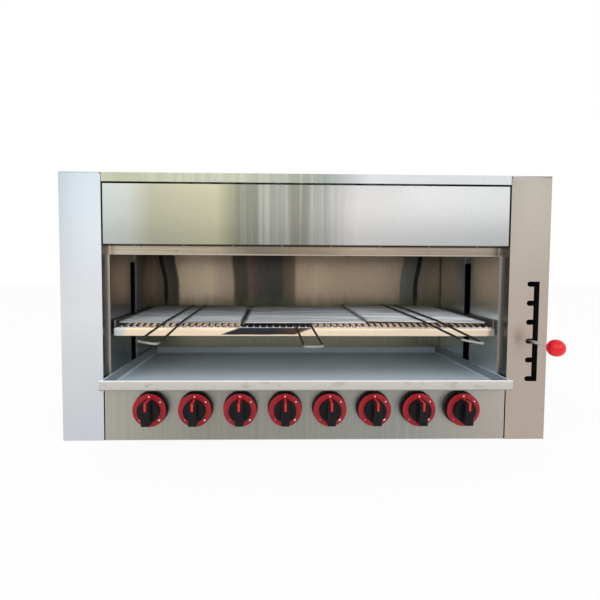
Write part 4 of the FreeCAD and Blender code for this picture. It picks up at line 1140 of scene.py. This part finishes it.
class MelterStage(bpy.types.Operator):
    """Sets the camera, the floor and the soft lamps"""

    bl_idname = "melter.stage"
    bl_label = "Stage"

    photo_width = 600.0
    photo_centre = (300.0, 300.0)
    lens_centre = (282.6, 291.9)
    focal_length = 440.0
    sensor = 36.0

    def camera(self, scene):
        """The photograph's camera, from its place, its turn and its lens in photo pixels."""
        place = Vector((-0.0860, -1.32685, 0.42366))
        yaw, pitch, roll = -0.0230, -0.0503, -0.0048
        turn = (Matrix.Rotation(yaw, 3, "Z") @ Matrix.Rotation(pitch, 3, "X")
                @ Matrix.Rotation(roll, 3, "Y"))
        right, ahead, up = (turn @ Vector(axis) for axis in ((1, 0, 0), (0, 1, 0), (0, 0, 1)))
        data = bpy.data.cameras.new("camera")
        data.sensor_width = self.sensor
        data.sensor_fit = "HORIZONTAL"
        data.lens = self.focal_length / self.photo_width * self.sensor
        data.shift_x = (self.photo_centre[0] - self.lens_centre[0]) / self.photo_width
        data.shift_y = (self.lens_centre[1] - self.photo_centre[1]) / self.photo_width
        data.clip_start = 0.05
        data.clip_end = 60.0
        obj = bpy.data.objects.new("camera", data)
        obj.matrix_world = Matrix((
            (right.x, up.x, -ahead.x, place.x), (right.y, up.y, -ahead.y, place.y),
            (right.z, up.z, -ahead.z, place.z), (0, 0, 0, 1)))
        scene.collection.objects.link(obj)
        scene.camera = obj

    @staticmethod
    def lamp(scene, name, place, target, size, power):
        data = bpy.data.lights.new(name, "AREA")
        data.shape = "RECTANGLE"
        data.size, data.size_y = size
        data.energy = power
        obj = bpy.data.objects.new(name, data)
        obj.location = place
        obj.rotation_euler = (Vector(target) - Vector(place)).to_track_quat("-Z", "Y").to_euler()
        scene.collection.objects.link(obj)

    @staticmethod
    def seen(finish):
        """1 for rays from the camera, a mirror or glass."""
        rays = finish.tree.nodes.new("ShaderNodeLightPath").outputs
        total = Value(finish, rays["Is Camera Ray"])
        for name in ("Is Glossy Ray", "Is Transmission Ray"):
            total = total.math("MAXIMUM", total, Value(finish, rays[name]))
        return total

    def floor(self):
        """A wide pale floor that shows as nearly white and keeps a soft shadow."""
        work = bmesh.new()
        bmesh.ops.create_grid(work, x_segments=4, y_segments=4, size=12.0)
        mesh = bpy.data.meshes.new("floor")
        work.to_mesh(mesh)
        work.free()
        finish = Finish("floor_white")
        diffuse = finish.node("ShaderNodeBsdfDiffuse", inputs={"Color": (0.86, 0.86, 0.86, 1.0)})
        glow = finish.node("ShaderNodeEmission", inputs={"Color": (1, 1, 1, 1), "Strength": 1.0})
        both = finish.node("ShaderNodeMixShader",
                           inputs={0: self.seen(finish) * 0.92, 1: diffuse, 2: glow})
        finish.node("ShaderNodeOutputMaterial", inputs={"Surface": both})
        mesh.materials.append(finish.material)
        obj = link("floor", mesh)
        obj.location.z = -0.0005

    @staticmethod
    def world(scene):
        """White where it is seen, softer where it only lights."""
        world = bpy.data.worlds.new("studio")
        scene.world = world
        world.use_nodes = True
        nodes = world.node_tree.nodes
        links = world.node_tree.links
        nodes.clear()
        out = nodes.new("ShaderNodeOutputWorld")
        mixed = nodes.new("ShaderNodeMixShader")
        lit = nodes.new("ShaderNodeBackground")
        lit.inputs["Color"].default_value = (0.95, 0.97, 1.0, 1.0)
        lit.inputs["Strength"].default_value = 0.90
        seen = nodes.new("ShaderNodeBackground")
        seen.inputs["Color"].default_value = (1.0, 1.0, 1.0, 1.0)
        seen.inputs["Strength"].default_value = 1.0
        rays = nodes.new("ShaderNodeLightPath").outputs
        total = rays["Is Camera Ray"]
        for name in ("Is Glossy Ray", "Is Transmission Ray"):
            larger = nodes.new("ShaderNodeMath")
            larger.operation = "MAXIMUM"
            links.new(total, larger.inputs[0])
            links.new(rays[name], larger.inputs[1])
            total = larger.outputs[0]
        links.new(total, mixed.inputs[0])
        links.new(lit.outputs[0], mixed.inputs[1])
        links.new(seen.outputs[0], mixed.inputs[2])
        links.new(mixed.outputs[0], out.inputs["Surface"])

    def execute(self, context):
        scene = context.scene
        scene.view_settings.view_transform = "Standard"
        self.camera(scene)
        self.world(scene)
        self.floor()
        self.lamp(scene, "key_lamp", (-1.2, -2.2, 2.5), (0, 0, 0.35), (1.6, 1.2), 11.0)
        self.lamp(scene, "fill_lamp", (1.9, -1.8, 1.3), (0, 0, 0.3), (1.4, 1.4), 7.0)
        self.lamp(scene, "front_lamp", (-0.2, -2.6, 1.30), (0, 0, 0.25), (4.4, 1.7), 18.0)
        return {"FINISHED"}


class MELTER_PT_sidebar(bpy.types.Panel):
    """Lists the pieces and their settings"""

    bl_label = "Cheese melter"
    bl_space_type = "VIEW_3D"
    bl_region_type = "UI"
    bl_category = "Cheese melter"

    def draw(self, context):
        for group in ("melter_sheet", "melter_wire", "melter_knob"):
            settings = getattr(context.scene, group)
            box = self.layout.box()
            for name in settings.__annotations__:
                box.prop(settings, name)
        for piece in PIECES:
            self.layout.operator(piece.bl_idname)


GROUPS = (("melter_sheet", SheetLook), ("melter_wire", WireLook), ("melter_knob", KnobLook))
PIECES = (MelterStage, MelterCasing, MelterCavity, MelterMechanism, MelterScrews, MelterTray,
          MelterRack, MelterGrates, MelterLever, MelterKnobs)


def register():
    for name, group in GROUPS:
        bpy.utils.register_class(group)
        setattr(bpy.types.Scene, name, PointerProperty(type=group))
    for piece in PIECES:
        bpy.utils.register_class(piece)
    bpy.utils.register_class(MELTER_PT_sidebar)


def unregister():
    bpy.utils.unregister_class(MELTER_PT_sidebar)
    for piece in reversed(PIECES):
        bpy.utils.unregister_class(piece)
    for name, group in reversed(GROUPS):
        delattr(bpy.types.Scene, name)
        bpy.utils.unregister_class(group)


def main():
    register()
    FINISH.update(finishes(bpy.context.scene))
    for piece in PIECES:
        group, name = piece.bl_idname.split(".")
        getattr(getattr(bpy.ops, group), name)()


if __name__ == "__main__":
    main()
